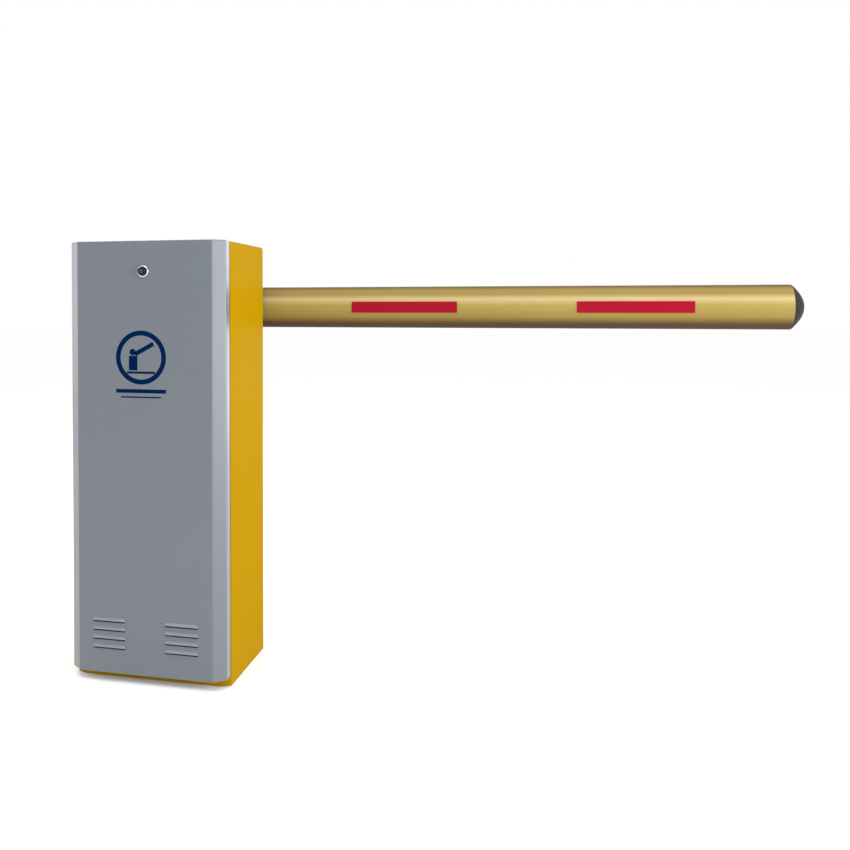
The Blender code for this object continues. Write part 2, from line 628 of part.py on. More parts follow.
def make_door(paint, hinge):
    """Folded tray door with hooks below, louvres and the lock's hole."""
    body = prism(door_outline(0.0), "Z", DOOR_BOTTOM, CABINET_HEIGHT)

    def is_rounded(edge):
        across = abs(edge.verts[0].co.z - edge.verts[1].co.z) < GAP
        front = max(edge.verts[0].co.y, edge.verts[1].co.y) < DOOR_BACK - SHEET
        upright = not across and edge.verts[0].co.y < DOOR_BACK - SHEET
        return (across and front) or upright

    bevel_edges(body, is_rounded, DOOR_EDGE_RADIUS, 2)
    cavity = prism(door_outline(SHEET), "Z", DOOR_BOTTOM + SHEET, CABINET_HEIGHT - SHEET)
    half = DOOR_HALF - DOOR_RETURN
    mouth = block((-half, DOOR_BACK - 2 * SHEET, DOOR_BOTTOM + DOOR_RETURN),
                  (half, DOOR_BACK + SHEET, CABINET_HEIGHT - DOOR_RETURN))
    hooks = [block((side * HOOK_X - HOOK_WIDTH / 2, DOOR_BACK - GAP, DOOR_BOTTOM - HOOK_BELOW),
                   (side * HOOK_X + HOOK_WIDTH / 2, DOOR_BACK + HOOK_THICKNESS, DOOR_BOTTOM + HOOK_ABOVE))
             for side in (-1, 1)]
    louvres, slots = [], []
    for side in (-1, 1):
        x = side * (FACE_HALF - LOUVRE_MARGIN - LOUVRE_LENGTH / 2)
        for row in range(LOUVRE_COUNT):
            z = DOOR_BOTTOM + LOUVRE_LOWEST + row * LOUVRE_PITCH
            louvres.append(make_louvre(x, z))
            slots.append(make_louvre_slot(x, z))
    lock_hole = rod(LOCK_BODY_RADIUS + GAP, "Y", DOOR_FACE - SHEET, DOOR_FACE + 2 * SHEET,
                    (0.0, LOCK_HEIGHT), FINE)
    offset = Matrix.Translation(-hinge.location)
    shapes = [body] + hooks + louvres + [cavity, mouth, lock_hole] + slots
    for shape in shapes:
        shape.transform(offset)
    make_part("door_panel", body, paint["grey"], parent=hinge, add=hooks + louvres,
              cut=[cavity, mouth, lock_hole] + slots)


def make_lock(paint, hinge):
    """Cylinder lock: a fixed body in the door, a turning barrel and its cam."""
    centre = Vector((0.0, DOOR_FACE, LOCK_HEIGHT))
    axis = make_axis("lock_axis", centre - hinge.location, hinge)
    length = FRONT + SHEET + LOCK_INSIDE - DOOR_FACE
    bore = LOCK_BARREL_RADIUS + GAP
    front = -LOCK_PROUD
    case = ring(LOCK_BODY_RADIUS, bore, "Y", front + GAP, length - GAP, sides=FINE)
    bezel = ring(LOCK_BEZEL_RADIUS, bore, "Y", front, -GAP, sides=FINE)
    make_part("lock_case", case, paint["chrome"], parent=hinge, location=axis.location, add=[bezel])
    nut = rod(LOCK_BODY_RADIUS + LOCK_NUT_EDGE, "Y", SHEET + GAP, SHEET + LOCK_NUT_THICKNESS, sides=6)
    thread = rod(LOCK_BODY_RADIUS + GAP, "Y", 0.0, 2 * SHEET + LOCK_NUT_THICKNESS, sides=FINE)
    make_part("lock_nut", nut, paint["zinc"], parent=hinge, location=axis.location, cut=[thread])
    nose = front - BARREL_PROUD
    side = 2 * LOCK_BARREL_RADIUS
    barrel = rod(LOCK_BARREL_RADIUS, "Y", nose, length + CAM_THICKNESS + BARREL_END, sides=FINE)
    key_slot = block((-KEY_SLOT_LENGTH / 2, nose - SHEET, -KEY_SLOT_WIDTH / 2),
                     (KEY_SLOT_LENGTH / 2, nose + KEY_SLOT_DEPTH, KEY_SLOT_WIDTH / 2))
    square = block((-side, length - GAP, BARREL_FLAT), (side, length + side, side))
    make_part("lock_barrel", barrel, paint["plastic"], parent=axis, cut=[key_slot, square])
    reach = LOCK_DROP - RETURN_FLANGE - CAM_TIP_CLEARANCE
    outline = [(reach, CAM_WIDTH / 2), (-CAM_TAIL, CAM_WIDTH / 2), (-CAM_TAIL, -CAM_WIDTH / 2),
               (reach, -CAM_WIDTH / 2)]
    cam = prism(outline, "Y", length + GAP, length + GAP + CAM_THICKNESS)
    stem = rod(LOCK_BARREL_RADIUS + GAP, "Y", length - SHEET, length + side, sides=FINE)
    hole = flattened(stem, BARREL_FLAT + GAP)
    make_part("lock_cam", cam, paint["zinc"], parent=axis, cut=[hole])


def flattened(mesh, level):
    """The part of a mesh below a level, closed with a flat face."""
    shape = bmesh.new()
    shape.from_mesh(mesh)
    geometry = shape.verts[:] + shape.edges[:] + shape.faces[:]
    bmesh.ops.bisect_plane(shape, geom=geometry, plane_co=(0, 0, level), plane_no=(0, 0, 1),
                           clear_outer=True)
    bmesh.ops.contextual_create(shape, geom=[e for e in shape.edges if e.is_boundary])
    bmesh.ops.recalc_face_normals(shape, faces=shape.faces)
    shape.to_mesh(mesh)
    shape.free()
    return mesh


# ---------------------------------------------------------------- boom and main shaft
def make_main_shaft(paint, axis):
    """Main shaft with the flange that carries the boom."""
    profile = [(SHAFT_RADIUS, SHAFT_FRONT), (SHAFT_RADIUS, SHAFT_BACK - SHAFT_FLANGE),
               (SHAFT_FLANGE_RADIUS, SHAFT_BACK - SHAFT_FLANGE), (SHAFT_FLANGE_RADIUS, SHAFT_BACK)]
    make_part("main_shaft", turned(profile, "Y"), paint["steel"], parent=axis)


def make_saddle(paint, axis):
    """Cradle bolted to the shaft's flange, and the two U-bolts that hold the boom in it."""
    leg = UBOLT_LEG
    half, height = SADDLE_LENGTH / 2, leg + SADDLE_MARGIN
    cradle = block((-half, SHAFT_BACK + GAP, -height), (half, BOOM_Y - SHEET, height))
    trough = rod(BOOM_RADIUS + GAP, "X", -half - SHEET, half + SHEET, (BOOM_Y, 0.0))
    foot = SHAFT_BACK + UBOLT_RADIUS
    holes = [rod(UBOLT_RADIUS + GAP, "Y", SHAFT_BACK - SHEET, BOOM_Y + SHEET, (x, z), COARSE)
             for x in (-UBOLT_X, UBOLT_X) for z in (-leg, leg)]
    make_part("boom_saddle", cradle, paint["frame"], parent=axis, cut=[trough] + holes)
    bend = [Vector((0.0, BOOM_Y + u, v)) for u, v in arc((0.0, 0.0), leg, -90, 90, 14)]
    path = [Vector((0.0, foot, -leg))] + bend + [Vector((0.0, foot, leg))]
    mesh = sweep(path, UBOLT_RADIUS, closed=False, sides=8)
    for side, name in ((-1, "inner"), (1, "outer")):
        make_part(f"boom_u_bolt_{name}", mesh, paint["zinc"], parent=axis,
                  location=(side * UBOLT_X, 0, 0))


def make_boom(paint, axis):
    """Round boom tube with its end caps and the red strips."""
    tube = ring(BOOM_RADIUS, BOOM_RADIUS - BOOM_WALL, "X", BOOM_TAIL, BOOM_END)
    make_part("boom_tube", tube, paint["gold"], parent=axis, location=(0, BOOM_Y, 0))
    plug = BOOM_RADIUS - BOOM_WALL - GAP
    rim = BOOM_RADIUS - CAP_INSET
    end = BOOM_END + GAP
    dome = [(plug, BOOM_END - CAP_SPIGOT), (plug, end), (rim, end)]
    for i in range(CAP_STEPS + 1):
        share = 1 - (1 - CAP_CROWN) * i / CAP_STEPS
        rise = (1 - share ** 2) / (1 - CAP_CROWN ** 2)
        dome.append((rim * share, end + CAP_RIM + (BOOM_CAP - CAP_RIM - GAP) * rise))
    make_part("boom_end_cap", turned(dome, "X"), paint["plastic"], parent=axis,
              location=(0, BOOM_Y, 0))
    tail = BOOM_TAIL - GAP
    flat = [(rim, tail - TAIL_CAP), (rim, tail), (plug, tail), (plug, BOOM_TAIL + CAP_SPIGOT)]
    make_part("boom_tail_cap", turned(flat, "X"), paint["plastic"], parent=axis,
              location=(0, BOOM_Y, 0))
    half_angle = math.degrees(STRIP_WIDTH / 2 / BOOM_RADIUS)
    inner = BOOM_RADIUS + GAP
    outline = arc((0.0, 0.0), inner + STRIP_THICKNESS, 180 - half_angle, 180 + half_angle, 6)
    outline += arc((0.0, 0.0), inner, 180 + half_angle, 180 - half_angle, 6)
    for number, start in enumerate(STRIP_STARTS, 1):
        strip = prism(outline, "X", start, start + STRIP_LENGTH)
        make_part(f"red_strip_{number}", strip, paint["red"], parent=axis, location=(0, BOOM_Y, 0))


def make_pin(name, material, parent, start, end, place):
    """A headed pin along Y at (x, z) from its parent's axis."""
    profile = [(PIN_HEAD_RADIUS, start - PIN_HEAD), (PIN_HEAD_RADIUS, start - GAP),
               (PIN_RADIUS, start - GAP), (PIN_RADIUS, end + GAP), (PIN_HEAD_RADIUS, end + GAP),
               (PIN_HEAD_RADIUS, end + PIN_HEAD - 2 * GAP)]
    make_part(name, turned(profile, "Y", sides=COARSE), material, parent=parent,
              location=(place[0], 0, place[1]))


def make_lever(name, material, parent, y, thickness, bore, reach, angle, hub):
    """A flat lever with a hub bore and a pin hole."""
    radians = math.radians(angle)
    tip = (reach * math.cos(radians), reach * math.sin(radians))
    low, high = y - thickness / 2, y + thickness / 2
    plate = prism(arm_outline(hub, EYE_RADIUS, reach, angle), "Y", low, high)
    holes = [rod(bore + GAP, "Y", low - SHEET, high + SHEET, sides=SEGMENTS),
             rod(PIN_RADIUS + GAP, "Y", low - SHEET, high + SHEET, tip, COARSE)]
    make_part(name, plate, material, parent=parent, cut=holes)
    return tip


def make_levers(paint, axis):
    """Rocker for the connecting rod and lever for the springs, with their pins."""
    tip = make_lever("rocker_lever", paint["frame"], axis, ARM_Y, ARM_THICKNESS, SHAFT_RADIUS,
                     CRANK_RADIUS, CRANK_REST, HUB_RADIUS)
    make_pin("rocker_pin", paint["steel"], axis, ARM_Y - ARM_THICKNESS / 2, ROD_Y + ROD_THICKNESS / 2,
             tip)
    tip = make_lever("spring_lever", paint["frame"], axis, LEVER_Y, LEVER_THICKNESS, SHAFT_RADIUS,
                     LEVER_RADIUS, LEVER_REST, HUB_RADIUS)
    reach = SPRING_OFFSET + HANGER_THICKNESS / 2
    make_pin("spring_pin", paint["steel"], axis, LEVER_Y - reach, LEVER_Y + reach, tip)


# ---------------------------------------------------------------- springs
def make_hangers(paint, axis):
    """Straps that hang from the spring pin, one on each side of the lever."""
    for side, name in ((-1, "front"), (1, "rear")):
        y = LEVER_Y + side * SPRING_OFFSET
        low, high = y - HANGER_THICKNESS / 2, y + HANGER_THICKNESS / 2
        outline = arc((0.0, 0.0), HANGER_HEAD, 0, 180, 10)
        outline += arc((0.0, -HANGER_DROP), HANGER_TAIL, 180, 360, 8)
        strap = prism(outline, "Y", low, high)
        holes = [rod(PIN_RADIUS + PIN_CLEARANCE, "Y", low - SHEET, high + SHEET, (0.0, 0.0), COARSE),
                 rod(WIRE_RADIUS + HANGER_HOLE_CLEARANCE, "Y", low - SHEET, high + SHEET,
                     (0.0, -HANGER_DROP), COARSE)]
        make_part(f"spring_hanger_{name}", strap, paint["zinc"], parent=axis, cut=holes)


def spring_path(length):
    """Centre line of a pull spring from its lower loop to its upper loop."""
    loop = [Vector((0.0, u, v)) for u, v in arc((0.0, SPRING_LOOP), SPRING_LOOP, -250, 60, 10)]
    start = 2 * SPRING_LOOP + SPRING_NECK
    rise = length - 2 * start
    steps = SPRING_TURNS * SPRING_STEPS
    coil = []
    for i in range(steps + 1):
        angle = 2 * math.pi * i / SPRING_STEPS
        coil.append(Vector((SPRING_RADIUS * math.cos(angle), SPRING_RADIUS * math.sin(angle),
                            start + rise * i / steps)))
    upper = [Vector((p.x, -p.y, length - p.z)) for p in reversed(loop)]
    return loop + coil + upper


def make_springs(paint):
    """Two balance springs, stretched while the boom is down, and their eye bolts."""
    length = SPRING_HEAD - SPRING_FOOT
    eye_centre = SPRING_FOOT - TENSION_EYE + TENSION_WIRE + WIRE_RADIUS + SHEET / 4
    foot = eye_centre - TENSION_EYE
    for side, name in ((-1, "front"), (1, "rear")):
        y = LEVER_Y + side * SPRING_OFFSET
        mesh = sweep(spring_path(length), WIRE_RADIUS, closed=False, sides=SPRING_SIDES)
        make_part(f"balance_spring_{name}", mesh, paint["steel"], location=(SPRING_X, y, SPRING_FOOT))
        circle = [Vector((u, 0.0, v)) for u, v in arc((0.0, eye_centre), TENSION_EYE, 0, 337.5, 15)]
        nut = BRACKET_TOP + GAP
        profile = [(TENSION_SHANK, BRACKET_TOP - TENSION_BELOW), (TENSION_SHANK, nut),
                   (TENSION_NUT_RADIUS, nut), (TENSION_NUT_RADIUS, nut + TENSION_NUT),
                   (TENSION_SHANK, nut + TENSION_NUT), (TENSION_SHANK, foot),
                   (TENSION_WIRE, foot + TENSION_WIRE / 2)]
        make_part(f"tension_bolt_{name}", turned(profile, "Z", sides=COARSE), paint["zinc"],
                  location=(SPRING_X, y, 0), add=[sweep(circle, TENSION_WIRE, closed=True)])
    low_y, high_y = LEVER_Y - BRACKET_DEPTH / 2, LEVER_Y + BRACKET_DEPTH / 2
    outline = [(low_y, FRAME_BOTTOM), (low_y, BRACKET_TOP), (high_y, BRACKET_TOP),
               (high_y, FRAME_BOTTOM), (high_y - BRACKET_PLATE, FRAME_BOTTOM),
               (high_y - BRACKET_PLATE, BRACKET_TOP - BRACKET_PLATE),
               (low_y + BRACKET_PLATE, BRACKET_TOP - BRACKET_PLATE),
               (low_y + BRACKET_PLATE, FRAME_BOTTOM)]
    channel = prism(outline, "X", BRACKET_CLEARANCE - FRAME_INNER, SPRING_X + BRACKET_REACH)
    holes = [rod(TENSION_SHANK + GAP, "Z", BRACKET_TOP - 2 * BRACKET_PLATE, BRACKET_TOP + SHEET,
                 (SPRING_X, LEVER_Y + side * SPRING_OFFSET), COARSE) for side in (-1, 1)]
    make_part("spring_bracket", channel, paint["frame"], cut=holes)


# ---------------------------------------------------------------- gear motor
def make_gearbox(paint):
    """Worm gearbox on its shelf, with its cover, the stop bracket and the rubber stops."""
    place = (0, 0, OUTPUT_HEIGHT)
    low, high = Vector(GEARBOX_LOW), Vector(GEARBOX_HIGH)
    wall = Vector((GEARBOX_WALL,) * 3)
    inner_low = low + wall
    inner_low.y = low.y - SHEET
    body = bevel_edges(block(low, high), is_along_y, GEARBOX_EDGE, 2)
    output = rod(OUTPUT_RADIUS + GAP, "Y", GEAR_Y, high.y + SHEET)
    motor_bore = rod(WORM_RADIUS + 2 * GAP, "Z", low.z - SHEET, 0.0, (WORM_X, GEAR_Y))
    make_part("gearbox_housing", body, paint["aluminium"], location=place,
              cut=[block(inner_low, high - wall), output, motor_bore])
    cover = bevel_edges(block((low.x, low.y - GEARBOX_COVER, low.z), (high.x, low.y - GAP, high.z)),
                        is_along_y, GEARBOX_EDGE, 2)
    boss = rod(OUTPUT_HUB, "Y", low.y - GEARBOX_COVER - GEARBOX_BOSS, low.y - GEARBOX_COVER / 2)
    make_part("gearbox_cover", cover, paint["aluminium"], location=place, add=[boss])
    make_stops(paint, place, high.y)


def make_stops(paint, place, face):
    """C-shaped bracket behind the gearbox with a rubber stop at each end of the crank's swing."""
    lean = math.asin((OUTPUT_HUB - EYE_RADIUS) / CRANK_RADIUS)
    facing = math.radians(90 - CRANK_REST) - lean
    outward = Vector((math.cos(facing), 0, math.sin(facing)))
    edge = Vector((math.sin(facing), 0, -math.cos(facing)))
    seat = outward * OUTPUT_HUB + edge * STOP_REACH
    back = seat + outward * (BUFFER_LENGTH + GAP)
    corner = [back + edge * BUFFER_RADIUS * 1.1, back - edge * BUFFER_RADIUS * 1.1]
    top = corner[0].z + STOP_PLATE
    outline = [(corner[0].x, corner[0].z), (corner[0].x, top), (-STOP_LEFT, top),
               (-STOP_LEFT, corner[1].z), (corner[1].x, corner[1].z)]
    lower = [(x, -z) for x, z in reversed(outline)]
    low, high = face + GAP, ARM_Y + BUFFER_RADIUS
    plates = [prism(outline, "Y", low, high), prism(lower, "Y", low, high)]
    spine = block((-STOP_LEFT, low, -top + SHEET), (STOP_SPINE - STOP_LEFT, high, top - SHEET))
    make_part("stop_bracket", spine, paint["frame"], location=place, add=plates)
    for sign, name in ((1, "upper"), (-1, "lower")):
        mesh = rod(BUFFER_RADIUS, "Z", GAP, BUFFER_LENGTH, sides=COARSE)
        buffer = make_part(f"rubber_stop_{name}", mesh, paint["rubber"])
        buffer.location = (seat.x, ARM_Y, place[2] + sign * seat.z)
        buffer.rotation_euler = (0, math.pi / 2 - sign * facing, 0)


def make_shelf(paint):
    """Shelf across the side frames that carries the gearbox and the motor."""
    half = FRAME_WEB - GAP
    left, right = SPRING_X - NOTCH_LEFT, SPRING_X + NOTCH_RIGHT
    front, back = FRAME_FRONT, GEARBOX_HIGH[1]
    notch = LEVER_Y - NOTCH_DEPTH
    outline = [(-half, front), (half, front), (half, back), (right, back), (right, notch),
               (left, notch), (left, back), (-half, back)]
    plate = prism(outline, "Z", SHELF_BOTTOM, SHELF_TOP)
    bore = rod(WORM_RADIUS + 2 * GAP, "Z", SHELF_BOTTOM - SHEET, SHELF_TOP + SHEET, (WORM_X, GEAR_Y))
    ends = [block((side * half, front, SHELF_BOTTOM - SHELF_END),
                  (side * (half - FRAME_PLATE), back, SHELF_BOTTOM + SHEET)) for side in (-1, 1)]
    make_part("gearmotor_shelf", plate, paint["frame"], cut=[bore], add=ends)


def make_motor(paint):
    """Finned motor under the shelf with its lower lid."""
    place = (WORM_X, GEAR_Y, 0)
    outline = []
    for i in range(MOTOR_FINS):
        middle = 360.0 * i / MOTOR_FINS
        tip = MOTOR_RADIUS + MOTOR_FIN
        for shift, radius in ((-3, tip), (3, tip), (4, MOTOR_RADIUS), (18.5, MOTOR_RADIUS)):
            angle = math.radians(middle + shift)
            outline.append((radius * math.cos(angle), radius * math.sin(angle)))
    body = prism(outline, "Z", MOTOR_BOTTOM, MOTOR_TOP)
    cavity = rod(MOTOR_RADIUS - MOTOR_WALL, "Z", MOTOR_BOTTOM - SHEET, MOTOR_TOP - MOTOR_WALL)
    bore = rod(WORM_RADIUS + 2 * GAP, "Z", MOTOR_TOP - 2 * MOTOR_WALL, MOTOR_TOP + SHEET, sides=FINE)
    make_part("motor_housing", body, paint["cast"], location=place, cut=[cavity, bore])
    stator = ring(MOTOR_RADIUS - MOTOR_WALL - GAP, ROTOR_RADIUS + AIR_GAP, "Z",
                  MOTOR_BOTTOM + STATOR_MARGIN, MOTOR_TOP - STATOR_MARGIN)
    make_part("motor_stator", stator, paint["bronze"], location=place)
    lid = ring(MOTOR_RADIUS, MOTOR_SHAFT + 2 * GAP, "Z", MOTOR_BOTTOM - MOTOR_LID, MOTOR_BOTTOM - GAP)
    make_part("motor_lid", lid, paint["cast"], location=place)


def make_worm(paint, axis):
    """Rotor, worm and shaft turned as one piece, with the hand wheel on its lower end."""
    centre = axis.location.z
    bottom = HANDWHEEL_HEIGHT - SHAFT_TAIL - centre
    rotor_low = MOTOR_BOTTOM + ROTOR_MARGIN - centre
    rotor_high = MOTOR_TOP - ROTOR_MARGIN - centre
    core = WORM_RADIUS - TOOTH_DEPTH
    profile = [(MOTOR_SHAFT, bottom), (MOTOR_SHAFT, rotor_low), (ROTOR_RADIUS, rotor_low),
               (ROTOR_RADIUS, rotor_high), (core, rotor_high)]
    pitch = 2 * math.pi * WHEEL_RADIUS / WHEEL_TEETH
    for i in range(WORM_RIDGES):
        z = (i - WORM_RIDGES / 2) * pitch
        profile += [(core, z), (WORM_RADIUS, z + 0.35 * pitch), (WORM_RADIUS, z + 0.65 * pitch)]
    profile += [(core, WORM_RIDGES / 2 * pitch), (core, GEARBOX_HIGH[2] - GEARBOX_WALL - GEARBOX_PLAY)]
    make_part("motor_rotor", turned(profile, "Z", sides=FINE), paint["steel"], parent=axis)
    rim = ring(HANDWHEEL_RADIUS, HANDWHEEL_RADIUS - 2 * HANDWHEEL_RIM, "Z", -HANDWHEEL_RIM,
               HANDWHEEL_RIM)
    hub = rod(HANDWHEEL_HUB, "Z", -HANDWHEEL_RIM, HANDWHEEL_RIM, sides=FINE)
    reach, half, depth = HANDWHEEL_RADIUS - HANDWHEEL_RIM, SPOKE_WIDTH / 2, SPOKE_THICKNESS / 2
    spokes = [block((-reach, -half, -depth), (reach, half, depth)),
              block((-half, -reach, -depth), (half, reach, depth))]
    bore = rod(MOTOR_SHAFT + GAP, "Z", -2 * HANDWHEEL_RIM, 2 * HANDWHEEL_RIM, sides=FINE)
    make_part("hand_wheel", rim, paint["knob"], parent=axis, location=(0, 0, HANDWHEEL_HEIGHT - centre),
              add=spokes + [hub], cut=[bore])


def make_crank(paint, axis):
    """Output shaft with the worm wheel, the crank arm and the crank pin."""
    end = ARM_Y + ARM_THICKNESS / 2
    shaft = rod(OUTPUT_RADIUS, "Y", GEARBOX_LOW[1] + GEARBOX_PLAY, end - GAP)
    make_part("output_shaft", shaft, paint["steel"], parent=axis)
    outline = []
    root = WHEEL_RADIUS - TOOTH_DEPTH
    for i in range(WHEEL_TEETH):
        for share, radius in ((0.0, root), (0.35, WHEEL_RADIUS), (0.65, WHEEL_RADIUS)):
            angle = 2 * math.pi * (i + share) / WHEEL_TEETH
            outline.append((radius * math.cos(angle), radius * math.sin(angle)))
    wheel = prism(outline, "Y", GEAR_Y - WHEEL_WIDTH / 2, GEAR_Y + WHEEL_WIDTH / 2)
    bore = rod(OUTPUT_RADIUS + GAP, "Y", GEAR_Y - WHEEL_WIDTH, GEAR_Y + WHEEL_WIDTH)
    make_part("worm_wheel", wheel, paint["bronze"], parent=axis, cut=[bore])
    tip = make_lever("crank_arm", paint["frame"], axis, ARM_Y, ARM_THICKNESS, OUTPUT_RADIUS,
                     CRANK_RADIUS, CRANK_REST, OUTPUT_HUB)
    make_pin("crank_pin", paint["steel"], axis, ARM_Y - ARM_THICKNESS / 2, ROD_Y + ROD_THICKNESS / 2,
             tip)


def make_connecting_rod(paint, axis):
    """Rod with an eye at each end; its lower eye turns on the crank pin."""
    low, high = ROD_Y - ROD_THICKNESS / 2 + GAP, ROD_Y + ROD_THICKNESS / 2 - GAP
    lower = rod(ROD_EYE, "Y", low, high, (0.0, 0.0), FINE)
    upper = rod(ROD_EYE, "Y", low, high, (0.0, LINK_LENGTH), FINE)
    half = ROD_THICKNESS / 2 - 2 * GAP
    stem = block((-ROD_BAR / 2, ROD_Y - half, ROD_EYE / 2),
                 (ROD_BAR / 2, ROD_Y + half, LINK_LENGTH - ROD_EYE / 2))
    holes = [rod(PIN_RADIUS + PIN_CLEARANCE, "Y", low - SHEET, high + SHEET, (0.0, z), COARSE)
             for z in (0.0, LINK_LENGTH)]
    make_part("connecting_rod", lower, paint["zinc"], parent=axis, add=[stem, upper], cut=holes)


# ---------------------------------------------------------------- control box
def make_control_box(paint):
    """Plastic box on the right side frame, its lid, and the board between its walls."""
    size = Vector(CONTROL_SIZE)
    low = Vector((FRAME_WEB - GAP - size.x, CONTROL_FRONT, CONTROL_BOTTOM))
    high = low + size
    split = low.y + CONTROL_LID
    wall = Vector((CONTROL_WALL,) * 3)
    tray = block((low.x, split + GAP, low.z), high)
    hollow = block((low.x + CONTROL_WALL, split - SHEET, low.z + CONTROL_WALL), high - wall)
    make_part("control_box", tray, paint["box"], cut=[hollow])
    lid = block(low, (high.x, split - GAP, high.z))
    inside = block(low + wall, (high.x - CONTROL_WALL, split + SHEET, high.z - CONTROL_WALL))
    make_part("control_box_lid", lid, paint["box"], cut=[inside])
    edge = CONTROL_WALL + GAP
    board = block((low.x + edge, low.y + BOARD_DEPTH, low.z + edge),
                  (high.x - edge, low.y + BOARD_DEPTH + BOARD_THICKNESS, high.z - edge))
    make_part("control_board", board, paint["plastic"])


# ---------------------------------------------------------------- assembly
def clear_scene():
    """Start from an empty scene."""
    for item in list(bpy.data.objects):
        bpy.data.objects.remove(item, do_unlink=True)


def build():
    """Model the whole barrier."""
    clear_scene()
    paint = make_materials()
    make_shell(paint)
    make_seals(paint)
    make_base(paint)
    make_frame(paint)

    door_hinge = make_axis("door_hinge", Vector((0, DOOR_BACK, DOOR_BOTTOM)))
    make_door(paint, door_hinge)
    make_lock(paint, door_hinge)

    boom_axis = make_axis("boom_axis", Vector((0, 0, AXIS_HEIGHT)))
    make_main_shaft(paint, boom_axis)
    make_saddle(paint, boom_axis)
    make_boom(paint, boom_axis)
    make_levers(paint, boom_axis)

    hanger_pin = Vector((SPRING_X, 0, SPRING_PIN_HEIGHT - AXIS_HEIGHT))
    hanger_axis = make_axis("hanger_axis", hanger_pin, boom_axis)
    make_hangers(paint, hanger_axis)
    make_springs(paint)

    make_gearbox(paint)
    make_shelf(paint)
    make_motor(paint)
    crank_axis = make_axis("crank_axis", Vector((0, 0, OUTPUT_HEIGHT)))
    make_crank(paint, crank_axis)
    crank_angle = math.radians(CRANK_REST)
    crank_tip = Vector((CRANK_RADIUS * math.cos(crank_angle), 0, CRANK_RADIUS * math.sin(crank_angle)))
    rod_axis = make_axis("rod_axis", crank_tip, crank_axis)
    make_connecting_rod(paint, rod_axis)
    worm_axis = make_axis("worm_axis", Vector((WORM_X, GEAR_Y, OUTPUT_HEIGHT)))
    make_worm(paint, worm_axis)

    make_control_box(paint)


build()
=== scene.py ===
import json
import math

import bmesh
import bpy
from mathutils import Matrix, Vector


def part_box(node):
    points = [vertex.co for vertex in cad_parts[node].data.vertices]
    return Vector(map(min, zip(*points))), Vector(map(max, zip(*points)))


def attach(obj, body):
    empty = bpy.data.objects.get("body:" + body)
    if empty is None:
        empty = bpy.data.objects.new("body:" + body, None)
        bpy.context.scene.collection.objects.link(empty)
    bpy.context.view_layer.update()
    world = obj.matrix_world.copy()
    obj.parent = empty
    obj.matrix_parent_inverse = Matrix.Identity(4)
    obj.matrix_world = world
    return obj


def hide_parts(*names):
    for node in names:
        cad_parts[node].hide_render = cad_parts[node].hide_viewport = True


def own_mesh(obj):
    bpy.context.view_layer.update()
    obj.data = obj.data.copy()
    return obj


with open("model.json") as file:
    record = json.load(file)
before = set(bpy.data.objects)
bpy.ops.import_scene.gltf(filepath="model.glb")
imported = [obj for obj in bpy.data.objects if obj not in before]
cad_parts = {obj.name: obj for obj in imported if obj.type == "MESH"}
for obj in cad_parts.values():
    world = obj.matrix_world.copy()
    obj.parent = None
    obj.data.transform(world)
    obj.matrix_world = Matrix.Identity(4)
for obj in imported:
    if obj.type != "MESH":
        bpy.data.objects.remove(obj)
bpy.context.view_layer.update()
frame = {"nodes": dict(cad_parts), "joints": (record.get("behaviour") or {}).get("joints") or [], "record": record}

# Parking barrier gate: the looks, in metres, +Z up, the door facing -Y and the boom along +X.
# Places and outer sizes are read from the CAD frame. Sheet thicknesses, folds and other sizes
# that a box doesn't show are named below. The model stands closed: boom level, door shut.
RECORD = frame["record"]
JOINTS = {joint["name"]: joint for joint in frame["joints"]}


# ---------------------------------------------------------------- places from the frame
def low_high(node):
    """Lowest and highest corner of a CAD node."""
    low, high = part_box(node)
    return Vector(low), Vector(high)


SHELL_LOW, SHELL_HIGH = low_high("cabinet_shell")
DOOR_LOW, DOOR_HIGH = low_high("door_panel")
TUBE_LOW, TUBE_HIGH = low_high("boom_tube")
TAIL_LOW, TAIL_HIGH = low_high("boom_tail_cap")
LOCK_LOW, LOCK_HIGH = low_high("lock_case")
BARREL_LOW, BARREL_HIGH = low_high("lock_barrel")

GAP = 0.0003                  # clearance between pieces that seat on each other
SHEET = 0.002                 # cabinet and door sheet steel
SEAM = 0.003                  # between the door and the cabinet
SKIN_EDGE = 0.0007            # rounding of the cabinet's cut edges
FRAME_EDGE = 0.0006           # rounding of the CAD nodes that stay

HALF_WIDTH = SHELL_HIGH.x
HEIGHT = SHELL_HIGH.z
BACK = SHELL_HIGH.y
FRONT = -BACK
CORNER_RADIUS = 0.007
RETURN_FLANGE = 0.022
SILL_HEIGHT = 0.0185
SILL_REACH = FRONT - SHELL_LOW.y
SILL_CORNER = 0.024

LOUVRE_LENGTH = 0.081
LOUVRE_HEIGHT = 0.010
LOUVRE_DEPTH = 0.005
LOUVRE_PITCH = 0.0198
LOUVRE_COUNT = 4
LOUVRE_MARGIN = 0.032         # from the edge of the door's front face
LOUVRE_LOWEST = 0.054         # above the door's lower edge
SLOT_LENGTH = 0.94            # slot behind a louvre, as a share of the louvre's length
SLOT_HEIGHT = 0.62            # and of its height
SLOT_DROP = 0.0004            # the slot starts this far below the louvre
HOOD_WALL = 0.0011
HOOD_LIP = 0.0042             # lower edge of the hood, above the louvre's foot
HOOD_ROOT = 0.0006            # the hood's rim lies this deep in the door's sheet
HOOD_SHORT = 0.0002           # the hood swells this much less far out than the CAD louvre
HOOD_SLANT_RIGHT = 0.0055     # the hood's upper edge is this much shorter at its right end
HOOD_SLANT_LEFT = 0.0020      # and at its left end

